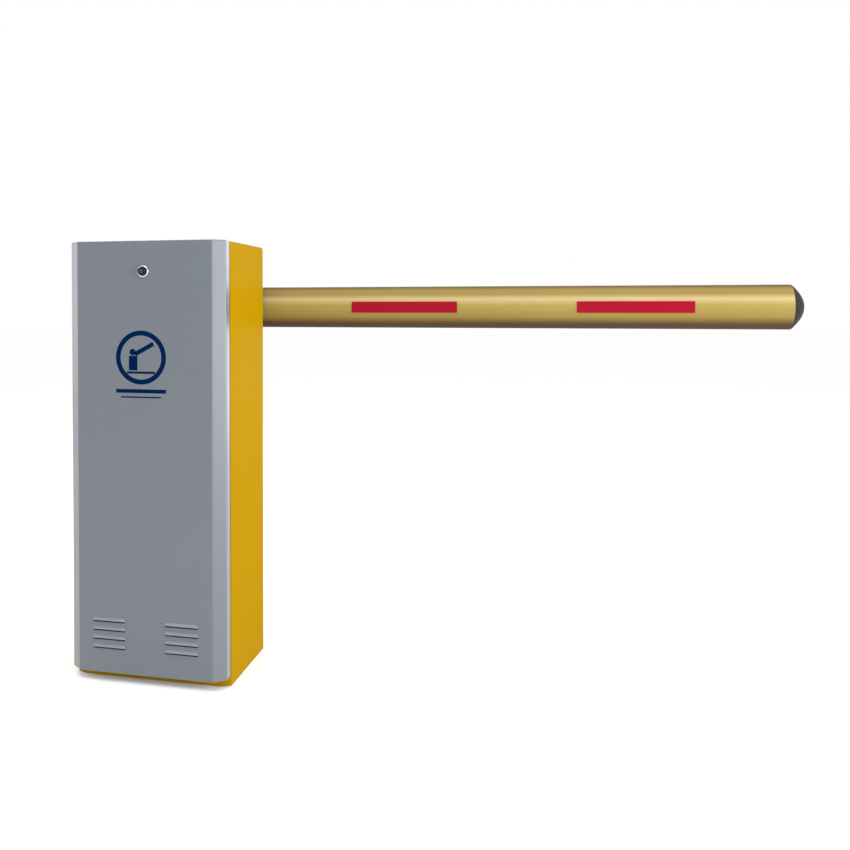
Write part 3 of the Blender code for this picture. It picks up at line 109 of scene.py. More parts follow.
DOOR_BACK = FRONT - SEAM
DOOR_FACE = DOOR_LOW.y + LOUVRE_DEPTH
DOOR_HALF = DOOR_HIGH.x
CHAMFER_WIDTH = 0.0256
CHAMFER_DEPTH = 0.0197
FACE_HALF = DOOR_HALF - CHAMFER_WIDTH
FOLD_RADIUS = 0.0022
DOOR_RETURN = 0.014
HOOK_X = 0.110
HOOK_WIDTH = 0.025
HOOK_BELOW = 0.0115
HOOK_ABOVE = 0.012
DOOR_BOTTOM = DOOR_LOW.z + HOOK_BELOW

LOCK_HEIGHT = (LOCK_LOW.z + LOCK_HIGH.z) / 2
LOCK_BODY_RADIUS = 0.0115
LOCK_HOLE_RADIUS = LOCK_BODY_RADIUS + GAP
BEZEL_INNER_ROUND = 0.0012
BEZEL_OUTER_ROUND = 0.0018
BARREL_ROUND = 0.0016
BARREL_DISH = 0.0006          # depth of the dish round the keyway plate
PLATE_SETBACK = 0.0001        # the keyway plate behind the barrel's nose
KEY_SLOT = (0.0045, 0.006, 0.0009)       # half length, depth and half height in the barrel
KEYWAY = (0.0036, 0.002, 0.0007)         # the same in the plate
KEY_OVERRUN = 0.002           # a key cut starts this far in front of the barrel

SIGN_X = -0.0065
SIGN_Z = 0.7244
SIGN_RADIUS = 0.0590
FILM = 0.0003                 # thickness of the sign's film
FILM_BACK = 0.00002           # the film in front of the door's paint

AXIS_HEIGHT = JOINTS["boom_lift"]["pos_m"][2]
SHAFT_RADIUS = 0.020
SHAFT_CLEARANCE = 0.010       # shaft to the hole in the cabinet's back
BOOM_Y = (TUBE_LOW.y + TUBE_HIGH.y) / 2
BOOM_RADIUS = (TUBE_HIGH.y - TUBE_LOW.y) / 2
BOOM_WALL = 0.003
TUBE_LIP = 0.0007             # broken edge of the tube's ends
TUBE_RINGS = 24
CAP_INSET = 0.0008            # the caps are this much smaller than the tube in radius
CAP_SPIGOT = 0.030            # length of the domed cap's plug in the tube
PLUG_CLEARANCE = 0.0004       # a cap's plug to the tube's bore
CAP_RIM = 0.0020              # straight edge of the domed cap
CAP_CROWN = 0.30              # flat middle of the domed cap, as a share of its radius
CAP_STEPS = 12
CAP_EDGE = 0.0006
TAIL_ROUND = 0.002
STRIP_CORNER = 0.0006
STRIP_FILM = 0.0005
SADDLE_CORNER = 0.010
SADDLE_EDGE = 0.0010

SPRING_WIRE = 0.0016          # radius of the wire
SPRING_LOOP = 0.0090          # radius of the end loops
SPRING_NECK = 0.008           # from a loop to the first turn
SPRING_BEND = 0.002           # from a loop's last bend to the end of its leg
SPRING_TURNS = 34
TURN_STEPS = 18


# ---------------------------------------------------------------- material helpers
def linear(shade):
    """A display colour, 0 to 255, as linear light."""
    return tuple((c / 255 / 12.92) if c < 10.31 else ((c / 255 + 0.055) / 1.055) ** 2.4 for c in shade)


class Shader:
    """A Principled material and short ways to add nodes to it."""

    def __init__(self, name, colour, roughness, metallic=0.0, **sockets):
        self.material = bpy.data.materials.new(name)
        self.material.use_nodes = True
        self.tree = self.material.node_tree
        self.surface = self.tree.nodes["Principled BSDF"]
        self.set(self.surface, "Base Color", (*colour, 1.0))
        self.set(self.surface, "Roughness", roughness)
        self.set(self.surface, "Metallic", metallic)
        for socket, value in sockets.items():
            self.set(self.surface, socket.replace("_", " "), value)
        self.place = self.node("ShaderNodeTexCoord").outputs["Object"]
        self.height = None

    def set(self, node, socket, value):
        """Give a socket a fixed value."""
        node.inputs[socket].default_value = value

    def node(self, kind, **inputs):
        """A new node; each input is a value or another node's output."""
        made = self.tree.nodes.new(kind)
        for socket, value in inputs.items():
            self.feed(made, socket.replace("_", " "), value)
        return made

    def feed(self, node, socket, value):
        """Give a socket a fixed value or another node's output."""
        if isinstance(value, bpy.types.NodeSocket):
            self.tree.links.new(value, node.inputs[socket])
        else:
            self.set(node, socket, value)

    def stretched(self, scale):
        """Object coordinates with a different scale along each axis."""
        return self.node("ShaderNodeMapping", Vector=self.place, Scale=scale).outputs["Vector"]

    def noise(self, scale, detail, place=None):
        """Smooth noise, about 0.3 to 0.7."""
        made = self.node("ShaderNodeTexNoise", Vector=place or self.place, Scale=scale, Detail=detail,
                         Roughness=0.5)
        return made.outputs["Fac"]

    def cells(self, scale, feature="DISTANCE_TO_EDGE"):
        """Irregular cells: the distance to their edges, or to their middles with F1."""
        made = self.node("ShaderNodeTexVoronoi", Vector=self.place, Scale=scale)
        made.feature = feature
        return made.outputs["Distance"]

    def spread(self, value, low, high, start=0.0, end=1.0):
        """Map a value from start..end to low..high."""
        made = self.node("ShaderNodeMapRange", Value=value, From_Min=start, From_Max=end, To_Min=low,
                         To_Max=high)
        return made.outputs["Result"]

    def maths(self, operation, first, second):
        """The sum, product or other result of two values."""
        made = self.tree.nodes.new("ShaderNodeMath")
        made.operation = operation
        for index, value in enumerate((first, second)):
            self.feed(made, index, value)
        return made.outputs[0]

    def part_of(self, axis):
        """One component of the object coordinates."""
        return self.node("ShaderNodeSeparateXYZ", Vector=self.place).outputs[axis]

    def mix(self, factor, first, second):
        """A colour between two colours."""
        made = self.tree.nodes.new("ShaderNodeMix")
        made.data_type = "RGBA"
        for socket, value in (("Factor", factor), ("A", first), ("B", second)):
            target = [s for s in made.inputs if s.name == socket and s.enabled][-1]
            if isinstance(value, bpy.types.NodeSocket):
                self.tree.links.new(value, target)
            else:
                target.default_value = (*value, 1.0)
        return [s for s in made.outputs if s.enabled][0]

    def ramp(self, value, stops):
        """A colour that runs through (place, sRGB colour) stops."""
        made = self.node("ShaderNodeValToRGB", Fac=value)
        band = made.color_ramp
        while len(band.elements) < len(stops):
            band.elements.new(0.5)
        for element, (place, shade) in zip(band.elements, stops):
            element.position = place
            element.color = (*linear(shade), 1.0)
        return made.outputs["Color"]

    def colour(self, value):
        """Set the base colour."""
        self.feed(self.surface, "Base Color", value)

    def rough(self, value):
        """Set the roughness."""
        self.feed(self.surface, "Roughness", value)

    def bump(self, height, strength, distance):
        """Lay a bump on the surface, over any bump laid before it."""
        made = self.node("ShaderNodeBump", Height=height, Strength=strength, Distance=distance)
        if self.height is not None:
            self.tree.links.new(self.height, made.inputs["Normal"])
        self.height = made.outputs["Normal"]
        self.tree.links.new(self.height, self.surface.inputs["Normal"])


# ---------------------------------------------------------------- materials
BOOM_PAINTED_SHADING = (                  # height up the boom, 0 to 1, and the colour there: painted highlight and painted shade
    (0.00, (55, 45, 30)),
    (0.13, (85, 65, 45)),
    (0.28, (138, 118, 62)),
    (0.55, (154, 135, 73)),
    (0.69, (184, 163, 117)),
    (0.80, (145, 125, 70)),
    (0.90, (149, 128, 75)),
    (1.00, (88, 74, 48)),
)


def powder_coat(name, shade, roughness, gloss, peel=0.05, sheen=0.0, clear=0.0):
    """Sprayed and baked paint: fine orange peel, a slow drift of shade, a trace of dust low down."""
    colour = linear(shade)
    shader = Shader(name, colour, roughness, Specular_IOR_Level=gloss, Sheen_Weight=sheen,
                    Sheen_Roughness=0.35, Coat_Weight=clear, Coat_Roughness=0.28)
    light = tuple(min(1.0, c * 1.03) for c in colour)
    dark = tuple(c * 0.96 for c in colour)
    tone = shader.mix(shader.noise(3.5, 3.0), dark, light)
    fine = shader.mix(shader.spread(shader.noise(210.0, 2.0), 0.0, 0.35, 0.35, 0.70), tone, dark)
    foot = shader.spread(shader.part_of("Z"), 0.05, 0.0, 0.0, 0.08)
    patches = shader.spread(shader.noise(38.0, 5.0), 0.0, 1.0, 0.45, 0.75)
    dust = shader.maths("MULTIPLY", foot, patches)
    shader.colour(shader.mix(dust, fine, (0.36, 0.33, 0.27)))
    polish_mark = shader.spread(shader.noise(18.0, 4.0), roughness - 0.02, roughness + 0.03, 0.3, 0.7)
    shader.rough(shader.maths("ADD", polish_mark, shader.maths("MULTIPLY", dust, 0.5)))
    shader.bump(shader.noise(380.0, 1.0), peel, 0.0003)
    return shader.material


def gold_tube():
    """Gold anodised tube with painted light: a painted highlight along its upper front, painted shade in dark
    brown below, fine drawing lines.
    """
    shader = Shader("gold_boom_finish", linear((190, 163, 92)), 0.42, Specular_IOR_Level=0.02)
    level = shader.spread(shader.part_of("Z"), 0.0, 1.0, AXIS_HEIGHT - BOOM_RADIUS,
                          AXIS_HEIGHT + BOOM_RADIUS)
    # Painted highlight and painted shade: the colour runs through bands by height on the boom.
    tone = shader.ramp(level, BOOM_PAINTED_SHADING)
    lines = shader.noise(1.0, 3.0, shader.stretched((5.0, 1100.0, 1100.0)))
    drift = shader.noise(3.0, 2.0)
    # Drawing lines darken the painted shading.
    lined_painted_shading = shader.mix(shader.spread(lines, 0.0, 0.14, 0.35, 0.75), tone, (0.010, 0.008, 0.005))
    shader.colour(shader.mix(shader.spread(drift, 0.0, 0.08, 0.3, 0.7), lined_painted_shading, (0.02, 0.016, 0.01)))
    shader.rough(shader.spread(lines, 0.36, 0.50, 0.3, 0.7))
    shader.bump(lines, 0.05, 0.0002)
    return shader.material


def reflective_film():
    """Red retroreflective tape with small cells."""
    shader = Shader("red_reflective_film", linear((140, 16, 38)), 0.42, Specular_IOR_Level=0.02)
    cells = shader.cells(420.0)
    wall = shader.spread(cells, 1.0, 0.0, 0.02, 0.12)
    shader.colour(shader.mix(wall, linear((144, 17, 38)), linear((128, 14, 33))))
    shader.rough(shader.spread(shader.noise(90.0, 2.0), 0.36, 0.48, 0.3, 0.7))
    shader.bump(cells, 0.05, 0.0002)
    return shader.material


def rubber():
    """Matt black rubber with a fine grain."""
    shader = Shader("black_rubber_finish", (0.022, 0.022, 0.024), 0.78)
    grain = shader.noise(420.0, 3.0)
    shader.colour(shader.mix(shader.noise(18.0, 2.0), (0.018, 0.018, 0.019), (0.034, 0.034, 0.036)))
    shader.rough(shader.spread(grain, 0.68, 0.88, 0.3, 0.7))
    shader.bump(grain, 0.25, 0.0003)
    return shader.material


def moulded(name, colour, roughness):
    """Moulded plastic with a spark-eroded texture."""
    shader = Shader(name, colour, roughness, Specular_IOR_Level=0.10)
    grain = shader.cells(900.0, feature="F1")
    light = tuple(min(1.0, c * 1.12 + 0.001) for c in colour)
    shader.colour(shader.mix(shader.noise(14.0, 2.0), colour, light))
    shader.rough(shader.spread(shader.noise(120.0, 2.0), roughness - 0.06, roughness + 0.08, 0.3, 0.7))
    shader.bump(grain, 0.12, 0.0002)
    return shader.material


def polished():
    """Chrome plate with faint wiping marks."""
    shader = Shader("chrome_plate", (0.78, 0.79, 0.80), 0.12, 1.0)
    marks = shader.noise(1.0, 4.0, shader.stretched((900.0, 60.0, 900.0)))
    shader.colour(shader.mix(shader.noise(80.0, 2.0), (0.74, 0.75, 0.76), (0.82, 0.83, 0.84)))
    shader.rough(shader.spread(marks, 0.07, 0.20, 0.35, 0.7))
    shader.bump(marks, 0.03, 0.0001)
    return shader.material


def turned_steel():
    """Turned and ground steel: fine lines round the shaft and a trace of oil."""
    shader = Shader("turned_steel", (0.52, 0.52, 0.53), 0.30, 1.0)
    lines = shader.noise(1.0, 2.0, shader.stretched((120.0, 2200.0, 120.0)))
    oil = shader.spread(shader.noise(22.0, 3.0), 0.0, 0.6, 0.50, 0.75)
    shader.colour(shader.mix(oil, (0.52, 0.52, 0.53), (0.33, 0.30, 0.25)))
    shader.rough(shader.spread(lines, 0.22, 0.42, 0.3, 0.7))
    shader.bump(lines, 0.10, 0.0002)
    return shader.material


def zinc():
    """Zinc plate: faint spangle, a slight blue and yellow tint, white bloom in places."""
    shader = Shader("zinc_plate", (0.60, 0.61, 0.61), 0.36, 0.95)
    spangle = shader.cells(170.0, feature="F1")
    tint = shader.mix(shader.noise(30.0, 3.0), (0.62, 0.60, 0.52), (0.56, 0.60, 0.64))
    bloom = shader.spread(shader.noise(45.0, 5.0), 0.0, 0.5, 0.58, 0.78)
    shader.colour(shader.mix(bloom, tint, (0.74, 0.75, 0.76)))
    shader.rough(shader.spread(spangle, 0.28, 0.50, 0.0, 0.8))
    shader.bump(spangle, 0.05, 0.0002)
    return shader.material


def cast(name, colour, metallic, grain_scale=260.0):
    """Sand-cast metal, painted or bare, with its rough skin."""
    shader = Shader(name, colour, 0.58, metallic)
    grain = shader.noise(grain_scale, 4.0)
    pits = shader.cells(grain_scale * 0.7, feature="F1")
    light = tuple(min(1.0, c * 1.25) for c in colour)
    dark = tuple(c * 0.72 for c in colour)
    shader.colour(shader.mix(shader.noise(35.0, 4.0), dark, light))
    shader.rough(shader.spread(grain, 0.46, 0.70, 0.3, 0.7))
    shader.bump(grain, 0.35, 0.0005)
    shader.bump(pits, 0.12, 0.0004)
    return shader.material


def bronze():
    """Bronze with turning marks and a darker patina."""
    shader = Shader("bronze_finish", (0.55, 0.33, 0.12), 0.36, 1.0)
    lines = shader.noise(1.0, 2.0, shader.stretched((300.0, 1500.0, 300.0)))
    shader.colour(shader.mix(shader.noise(40.0, 4.0), (0.38, 0.21, 0.08), (0.62, 0.39, 0.15)))
    shader.rough(shader.spread(lines, 0.26, 0.48, 0.3, 0.7))
    shader.bump(lines, 0.10, 0.0002)
    return shader.material


def navy_vinyl():
    """Cut vinyl film in navy."""
    shader = Shader("navy_vinyl", linear((1, 26, 60)), 0.45, Specular_IOR_Level=0.0)
    shader.colour(shader.mix(shader.noise(30.0, 2.0), linear((1, 24, 58)), linear((1, 28, 66))))
    shader.rough(shader.spread(shader.noise(200.0, 2.0), 0.30, 0.42, 0.3, 0.7))
    shader.bump(shader.noise(700.0, 1.0), 0.05, 0.0001)
    return shader.material


def circuit_board():
    """Green solder mask with paler tracks."""
    shader = Shader("board_mask", (0.02, 0.12, 0.05), 0.40)
    grid = shader.spread(shader.cells(130.0), 1.0, 0.0, 0.03, 0.06)
    shader.colour(shader.mix(grid, (0.015, 0.10, 0.04), (0.05, 0.21, 0.09)))
    shader.rough(shader.spread(shader.noise(90.0, 2.0), 0.32, 0.50, 0.3, 0.7))
    shader.bump(grid, 0.15, 0.0002)
    return shader.material


FINISH = {
    "yellow_paint": powder_coat("yellow_powder_coat", (149, 114, 4), 0.34, 0.001),
    "grey_paint": powder_coat("grey_powder_coat", (88, 94, 101), 0.40, 0.50, 0.06, 0.20, 0.5),
    # Paler copy of the grey coat for the louvres: painted highlight where light falls on their upward slopes.
    "louvre_paint": powder_coat("louvre_powder_coat", (116, 122, 130), 0.40, 0.50, 0.06),
    "gunmetal": cast("gunmetal", (0.09, 0.09, 0.095), 0.8, 340.0),
    "gold_boom": gold_tube(),
    "red_strip": reflective_film(),
    "black_rubber": rubber(),
    "black_plastic": moulded("black_moulding", (0.009, 0.008, 0.0095), 0.46),
    "chrome": polished(),
    "machined_steel": turned_steel(),
    "zinc_plated": zinc(),
    "frame_paint": powder_coat("frame_coat", (82, 86, 90), 0.48, 0.5, 0.12),
    "cast_iron": cast("painted_casting", (0.075, 0.105, 0.130), 0.0),
    "cast_aluminium": cast("aluminium_casting", (0.52, 0.53, 0.54), 0.85, 340.0),
    "bronze": bronze(),
    "pale_plastic": moulded("pale_moulding", (0.54, 0.55, 0.54), 0.46),
    "red_plastic": moulded("red_moulding", (0.48, 0.030, 0.018), 0.34),
    "navy": navy_vinyl(),
    "board": circuit_board(),
}


# ---------------------------------------------------------------- mesh helpers
def mesh_from(vertices, faces):
    """A mesh with its faces turned outwards."""
    mesh = bpy.data.meshes.new("shape")
    mesh.from_pydata([tuple(v) for v in vertices], [], faces)
    shape = bmesh.new()
    shape.from_mesh(mesh)
    bmesh.ops.recalc_face_normals(shape, faces=shape.faces)
    shape.to_mesh(mesh)
    shape.free()
    return mesh


def along(axis, u, v, w):
    """Point with w along the named axis and (u, v) across it."""
    return {"X": (w, u, v), "Y": (u, w, v), "Z": (u, v, w)}[axis]


def prism(outline, axis, start, end):
    """A flat outline drawn across an axis and extruded along it."""
    count = len(outline)
    vertices = [along(axis, u, v, start) for u, v in outline]
    vertices += [along(axis, u, v, end) for u, v in outline]
    faces = [tuple(range(count)), tuple(range(2 * count - 1, count - 1, -1))]
    faces += [(i, (i + 1) % count, (i + 1) % count + count, i + count) for i in range(count)]
    return mesh_from(vertices, faces)


def block(low, high):
    """A box between two corners."""
    outline = [(low[0], low[1]), (high[0], low[1]), (high[0], high[1]), (low[0], high[1])]
    return prism(outline, "Z", low[2], high[2])


def turned(profile, axis, centre, sides=64, closed=False):
    """A profile of (radius, station) points turned about an axis.

    A closed profile makes a ring; an open one starts and ends on the axis or is capped.
    """
    vertices, rings = [], []
    for radius, station in profile:
        count = 1 if radius == 0.0 else sides
        rings.append(list(range(len(vertices), len(vertices) + count)))
        for i in range(count):
            angle = 2 * math.pi * i / sides
            u = centre[0] + radius * math.cos(angle)
            v = centre[1] + radius * math.sin(angle)
            vertices.append(along(axis, u, v, station))
    pairs = list(zip(rings, rings[1:] + rings[:1] if closed else rings[1:]))
    faces = []
    for lower, upper in pairs:
        for i in range(sides):
            j = (i + 1) % sides
            corners = [lower[i % len(lower)], lower[j % len(lower)],
                       upper[j % len(upper)], upper[i % len(upper)]]
            faces.append(tuple(dict.fromkeys(corners)))
    if not closed:
        faces += [tuple(ends) for ends in (rings[0], rings[-1]) if len(ends) > 1]
    return mesh_from(vertices, faces)


def arc(centre, radius, start, end, steps):
    """Points on an arc, angles in degrees."""
    points = []
    for i in range(steps + 1):
        angle = math.radians(start + (end - start) * i / steps)
        points.append((centre[0] + radius * math.cos(angle), centre[1] + radius * math.sin(angle)))
    return points


def sweep(path, radius, sides):
    """A round wire along a list of points, with flat ends."""
    count = len(path)
    vertices = []
    normal = Vector((0.0, 0.0, 1.0))
    for i, point in enumerate(path):
        tangent = (path[min(i + 1, count - 1)] - path[max(i - 1, 0)]).normalized()
        if i == 0 and abs(tangent.dot(normal)) > 0.9:
            normal = Vector((1.0, 0.0, 0.0))
        normal = (normal - tangent * normal.dot(tangent)).normalized()
        side = tangent.cross(normal)
        for k in range(sides):
            angle = 2 * math.pi * k / sides
            vertices.append(point + radius * (normal * math.cos(angle) + side * math.sin(angle)))
    faces = []
    for i in range(count - 1):
        a, b = i * sides, (i + 1) * sides
        faces += [(a + k, a + (k + 1) % sides, b + (k + 1) % sides, b + k) for k in range(sides)]
    faces.append(tuple(range(sides)))
    faces.append(tuple(range((count - 1) * sides, count * sides)))
    return mesh_from(vertices, faces)


def walled(outside, inside, rows, columns):
    """A closed sheet between two grids of points, each of rows + 1 lines of columns + 1 points."""
    width, count = columns + 1, len(outside)
    faces = []
    for row in range(rows):
        for column in range(columns):
            a = row * width + column
            faces.append((a, a + 1, a + 1 + width, a + width))
            faces.append((count + a + width, count + a + 1 + width, count + a + 1, count + a))
    rim = list(range(width))
    rim += [row * width + columns for row in range(1, rows + 1)]
    rim += [rows * width + columns - i for i in range(1, width)]
    rim += [row * width for row in range(rows - 1, 0, -1)]
    for first, second in zip(rim, rim[1:] + rim[:1]):
        faces.append((first, first + count, second + count, second))
    return mesh_from(outside + inside, faces)


def rounded(mesh, chosen, width, segments):
    """Round the edges of a mesh for which chosen(edge) is true."""
    shape = bmesh.new()
    shape.from_mesh(mesh)
    edges = [edge for edge in shape.edges if chosen(edge)]
    bmesh.ops.bevel(shape, geom=edges, offset=width, segments=segments, profile=0.5, affect="EDGES")
    shape.to_mesh(mesh)
    shape.free()
    return mesh


def joined(meshes):
    """Several closed meshes as one mesh."""
    shape = bmesh.new()
    for mesh in meshes:
        shape.from_mesh(mesh)
    result = bpy.data.meshes.new("joined")
    shape.to_mesh(result)
    shape.free()
    return result


def carved(mesh, add=(), cut=()):
    """A mesh with others joined to it and taken from it."""
    target = bpy.data.objects.new("carving", mesh)
    bpy.context.scene.collection.objects.link(target)
    tools = []
    for operation, shapes in (("UNION", add), ("DIFFERENCE", cut)):
        for shape in shapes:
            tool = bpy.data.objects.new("tool", shape)
            bpy.context.scene.collection.objects.link(tool)
            tools.append(tool)
            modifier = target.modifiers.new(operation, "BOOLEAN")
            modifier.operation = operation
            modifier.solver = "EXACT"
            modifier.object = tool
    graph = bpy.context.evaluated_depsgraph_get()
    result = bpy.data.meshes.new_from_object(target.evaluated_get(graph))
    for item in [target] + tools:
        bpy.data.objects.remove(item)
    return result


def piece(name, mesh, finish, body, nodes=(), bevel=0.0, angle=35.0):
    """A finished piece of the visual model that rides on a CAD body."""
    made = bpy.data.objects.new(name, mesh)
    bpy.context.scene.collection.objects.link(made)
    mesh.name = name
    mesh.materials.clear()
    mesh.materials.append(FINISH[finish])
    mesh.shade_smooth()
    mesh.set_sharp_from_angle(angle=math.radians(angle))
    polish(made, bevel)
    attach(made, body)
    if nodes:
        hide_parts(*nodes)
    return made


def polish(item, bevel):
    """Small rounded edges and even shading on flat faces."""
    if bevel > 0.0:
        edge = item.modifiers.new("edges", "BEVEL")
        edge.width = bevel
        edge.segments = 2
        edge.limit_method = "ANGLE"
        edge.angle_limit = math.radians(35)
        edge.harden_normals = False
    shade = item.modifiers.new("shade", "WEIGHTED_NORMAL")
    shade.keep_sharp = True
    shade.weight = 80


# ---------------------------------------------------------------- cabinet
def make_cabinet():
    """Yellow cabinet with rolled corners, front flanges and the sill."""
    outer = block((-HALF_WIDTH, FRONT, 0), (HALF_WIDTH, BACK, HEIGHT))
    inner_x, inner_back, inner_top = HALF_WIDTH - SHEET, BACK - SHEET, HEIGHT - SHEET
    cavity = block((-inner_x, FRONT + SHEET, -SHEET), (inner_x, inner_back, inner_top))
    near = SHEET + GAP

    def is_folded(edge):
        middle = (edge.verts[0].co + edge.verts[1].co) / 2
        at_back = middle.y > BACK - near
        at_side = abs(middle.x) > HALF_WIDTH - near
        at_top = middle.z > HEIGHT - near
        return (at_back and at_side) or (at_top and (at_back or at_side))

    rounded(outer, is_folded, CORNER_RADIUS, 8)
    rounded(cavity, is_folded, CORNER_RADIUS - SHEET, 8)
    half = HALF_WIDTH - RETURN_FLANGE
    doorway = block((-half, FRONT - SHEET, SILL_HEIGHT), (half, FRONT + 2 * SHEET, HEIGHT - RETURN_FLANGE))
    lip = [(-HALF_WIDTH, FRONT), (-HALF_WIDTH + SILL_CORNER, FRONT - SILL_REACH),
           (HALF_WIDTH - SILL_CORNER, FRONT - SILL_REACH), (HALF_WIDTH, FRONT),
           (HALF_WIDTH - SHEET, FRONT + SHEET), (SHEET - HALF_WIDTH, FRONT + SHEET)]
    sill = prism(lip, "Z", 0.0, SILL_HEIGHT)
    bore = SHAFT_RADIUS + SHAFT_CLEARANCE
    hole = turned([(bore, inner_back - SHEET), (bore, BACK + SHEET)], "Y", (0.0, AXIS_HEIGHT))
    slots = [block((side * HOOK_X - HOOK_WIDTH / 2 - SHEET, DOOR_BACK - SHEET, -SHEET),
                   (side * HOOK_X + HOOK_WIDTH / 2 + SHEET, FRONT + 2 * SHEET, SILL_HEIGHT + SHEET))
             for side in (-1, 1)]
    shell = carved(outer, [sill], [cavity, doorway, hole] + slots)
    piece("cabinet_skin", shell, "yellow_paint", "root", ["cabinet_shell"], bevel=SKIN_EDGE)


# ---------------------------------------------------------------- door
def door_outline(inset):
    """The tray seen from above, drawn in by the sheet's thickness for its inside."""
    slope = math.hypot(CHAMFER_WIDTH, CHAMFER_DEPTH)
    turn = inset * (slope - CHAMFER_WIDTH) / CHAMFER_DEPTH
    bend = inset * (slope - CHAMFER_DEPTH) / CHAMFER_WIDTH
    side = DOOR_HALF - inset
    shoulder = DOOR_FACE + CHAMFER_DEPTH + turn
    back = DOOR_BACK - inset
    return [(-side, back), (-side, shoulder), (-FACE_HALF + bend, DOOR_FACE + inset),
            (FACE_HALF - bend, DOOR_FACE + inset), (side, shoulder), (side, back)]


def louvre_places():
    """Lower middle point of each louvre."""
    reach = FACE_HALF - LOUVRE_MARGIN - LOUVRE_LENGTH / 2
    return [(side * reach, DOOR_BOTTOM + LOUVRE_LOWEST + row * LOUVRE_PITCH)
            for side in (-1, 1) for row in range(LOUVRE_COUNT)]


def louvre_hood(x, z):
    """A pressed hood: a slope that swells out of the door and is open below its lip."""
    columns, rows = 40, 6
    root = DOOR_FACE + HOOD_ROOT
    outside, inside = [], []
    for row in range(rows + 1):
        rise = row / rows
        for column in range(columns + 1):
            across = 2 * column / columns - 1
            end = min(1.0, (1 - abs(across)) / 0.10)
            swell = end * (2 - end) * (1 - rise ** 1.2)
            slant = HOOD_SLANT_RIGHT if across > 0 else HOOD_SLANT_LEFT
            point = Vector((x + across * (LOUVRE_LENGTH / 2 - slant * rise),
                            root - (LOUVRE_DEPTH + HOOD_ROOT - HOOD_SHORT) * swell,
                            z + HOOD_LIP + rise * (LOUVRE_HEIGHT - HOOD_LIP)))
            outside.append(point)
            inside.append(point + Vector((0, HOOD_WALL, 0)))
    return walled(outside, inside, rows, columns)


def make_door():
    """Grey tray door with rolled folds, hooks, pressed louvres and the lock's hole."""
    body = prism(door_outline(0.0), "Z", DOOR_BOTTOM, HEIGHT)

    def is_folded(edge):
        first, second = edge.verts[0].co, edge.verts[1].co
        inner = DOOR_BACK - SHEET
        level = abs(first.z - second.z) < SHEET / 2
        return max(first.y, second.y) < inner or (level and min(first.y, second.y) < inner)

    rounded(body, is_folded, FOLD_RADIUS, 5)
    cavity = prism(door_outline(SHEET), "Z", DOOR_BOTTOM + SHEET, HEIGHT - SHEET)
    half = DOOR_HALF - DOOR_RETURN
    mouth = block((-half, DOOR_BACK - 2 * SHEET, DOOR_BOTTOM + DOOR_RETURN),
                  (half, DOOR_BACK + SHEET, HEIGHT - DOOR_RETURN))
    hooks = [block((side * HOOK_X - HOOK_WIDTH / 2, DOOR_BACK - GAP, DOOR_BOTTOM - HOOK_BELOW),
                   (side * HOOK_X + HOOK_WIDTH / 2, DOOR_BACK + SHEET, DOOR_BOTTOM + HOOK_ABOVE))
             for side in (-1, 1)]
    front, behind = DOOR_FACE - SHEET, DOOR_FACE + 2 * SHEET
    lock_hole = turned([(LOCK_HOLE_RADIUS, front), (LOCK_HOLE_RADIUS, behind)], "Y",
                       (0.0, LOCK_HEIGHT))
    reach = SLOT_LENGTH * LOUVRE_LENGTH / 2
    slots = [block((x - reach, front, z - SLOT_DROP), (x + reach, behind, z + SLOT_HEIGHT * LOUVRE_HEIGHT))
             for x, z in louvre_places()]
    skin = carved(body, hooks, [cavity, mouth, lock_hole] + slots)
    piece("door_skin", skin, "grey_paint", "door", ["door_panel"])
    hoods = joined([louvre_hood(x, z) for x, z in louvre_places()])
    # The louvres take the paler coat: painted highlight.
    piece("door_louvres", hoods, "louvre_paint", "door", angle=60.0)


def key_cut(nose, size):
    """The block that a key slot takes out of the barrel or its plate."""
    half_length, depth, half_height = size
    return block((-half_length, nose - KEY_OVERRUN, LOCK_HEIGHT - half_height),
                 (half_length, nose + depth, LOCK_HEIGHT + half_height))


def make_lock():
    """Chrome cylinder lock with a black barrel and its key slot."""
    front, back = LOCK_LOW.y, LOCK_HIGH.y
    outer = (LOCK_HIGH.x - LOCK_LOW.x) / 2
    radius = (BARREL_HIGH.x - BARREL_LOW.x) / 2
    bore = radius + GAP
    centre = (0.0, LOCK_HEIGHT)
    inner, rim = BEZEL_INNER_ROUND, BEZEL_OUTER_ROUND
    bezel = [(bore, back), (bore, front + inner)]
    bezel += arc((bore + inner, front + inner), inner, 180, 270, 4)
    bezel += arc((outer - rim, front + rim), rim, 270, 360, 5)
    bezel += [(outer, DOOR_FACE - GAP), (LOCK_BODY_RADIUS, DOOR_FACE - GAP), (LOCK_BODY_RADIUS, back)]
    piece("lock_bezel", turned(bezel, "Y", centre, closed=True), "chrome", "door", ["lock_case"])
    nose, tail = BARREL_LOW.y, BARREL_HIGH.y
    dish, neck = nose + BARREL_DISH, radius * 0.60
    profile = [(0.0, dish), (radius * 0.52, dish), (neck, nose)]
    profile += arc((radius - BARREL_ROUND, nose + BARREL_ROUND), BARREL_ROUND, 270, 360, 5)
    profile += [(radius, back), (neck, back), (neck, tail), (0.0, tail)]
    barrel = carved(turned(profile, "Y", centre), cut=[key_cut(nose, KEY_SLOT)])
    piece("lock_plug", barrel, "black_plastic", "lock", ["lock_barrel"])
    face = nose + PLATE_SETBACK
    plate = turned([(0.0, dish), (radius * 0.50, dish), (radius * 0.50, face), (0.0, face)], "Y", centre)
    keyway = carved(plate, cut=[key_cut(nose, KEYWAY)])
    piece("lock_keyway", keyway, "gunmetal", "lock")


def ring_film(outer, inner, x, z):
    """A flat ring of film on the door's face."""
    front, back = DOOR_FACE - FILM, DOOR_FACE - FILM_BACK
    profile = [(inner, back), (inner, front), (outer, front), (outer, back)]
    return turned(profile, "Y", (x, z), sides=96, closed=True)


def film(outline):
    """A flat outline of film on the door's face."""
    return prism(outline, "Y", DOOR_FACE - FILM, DOOR_FACE - FILM_BACK)


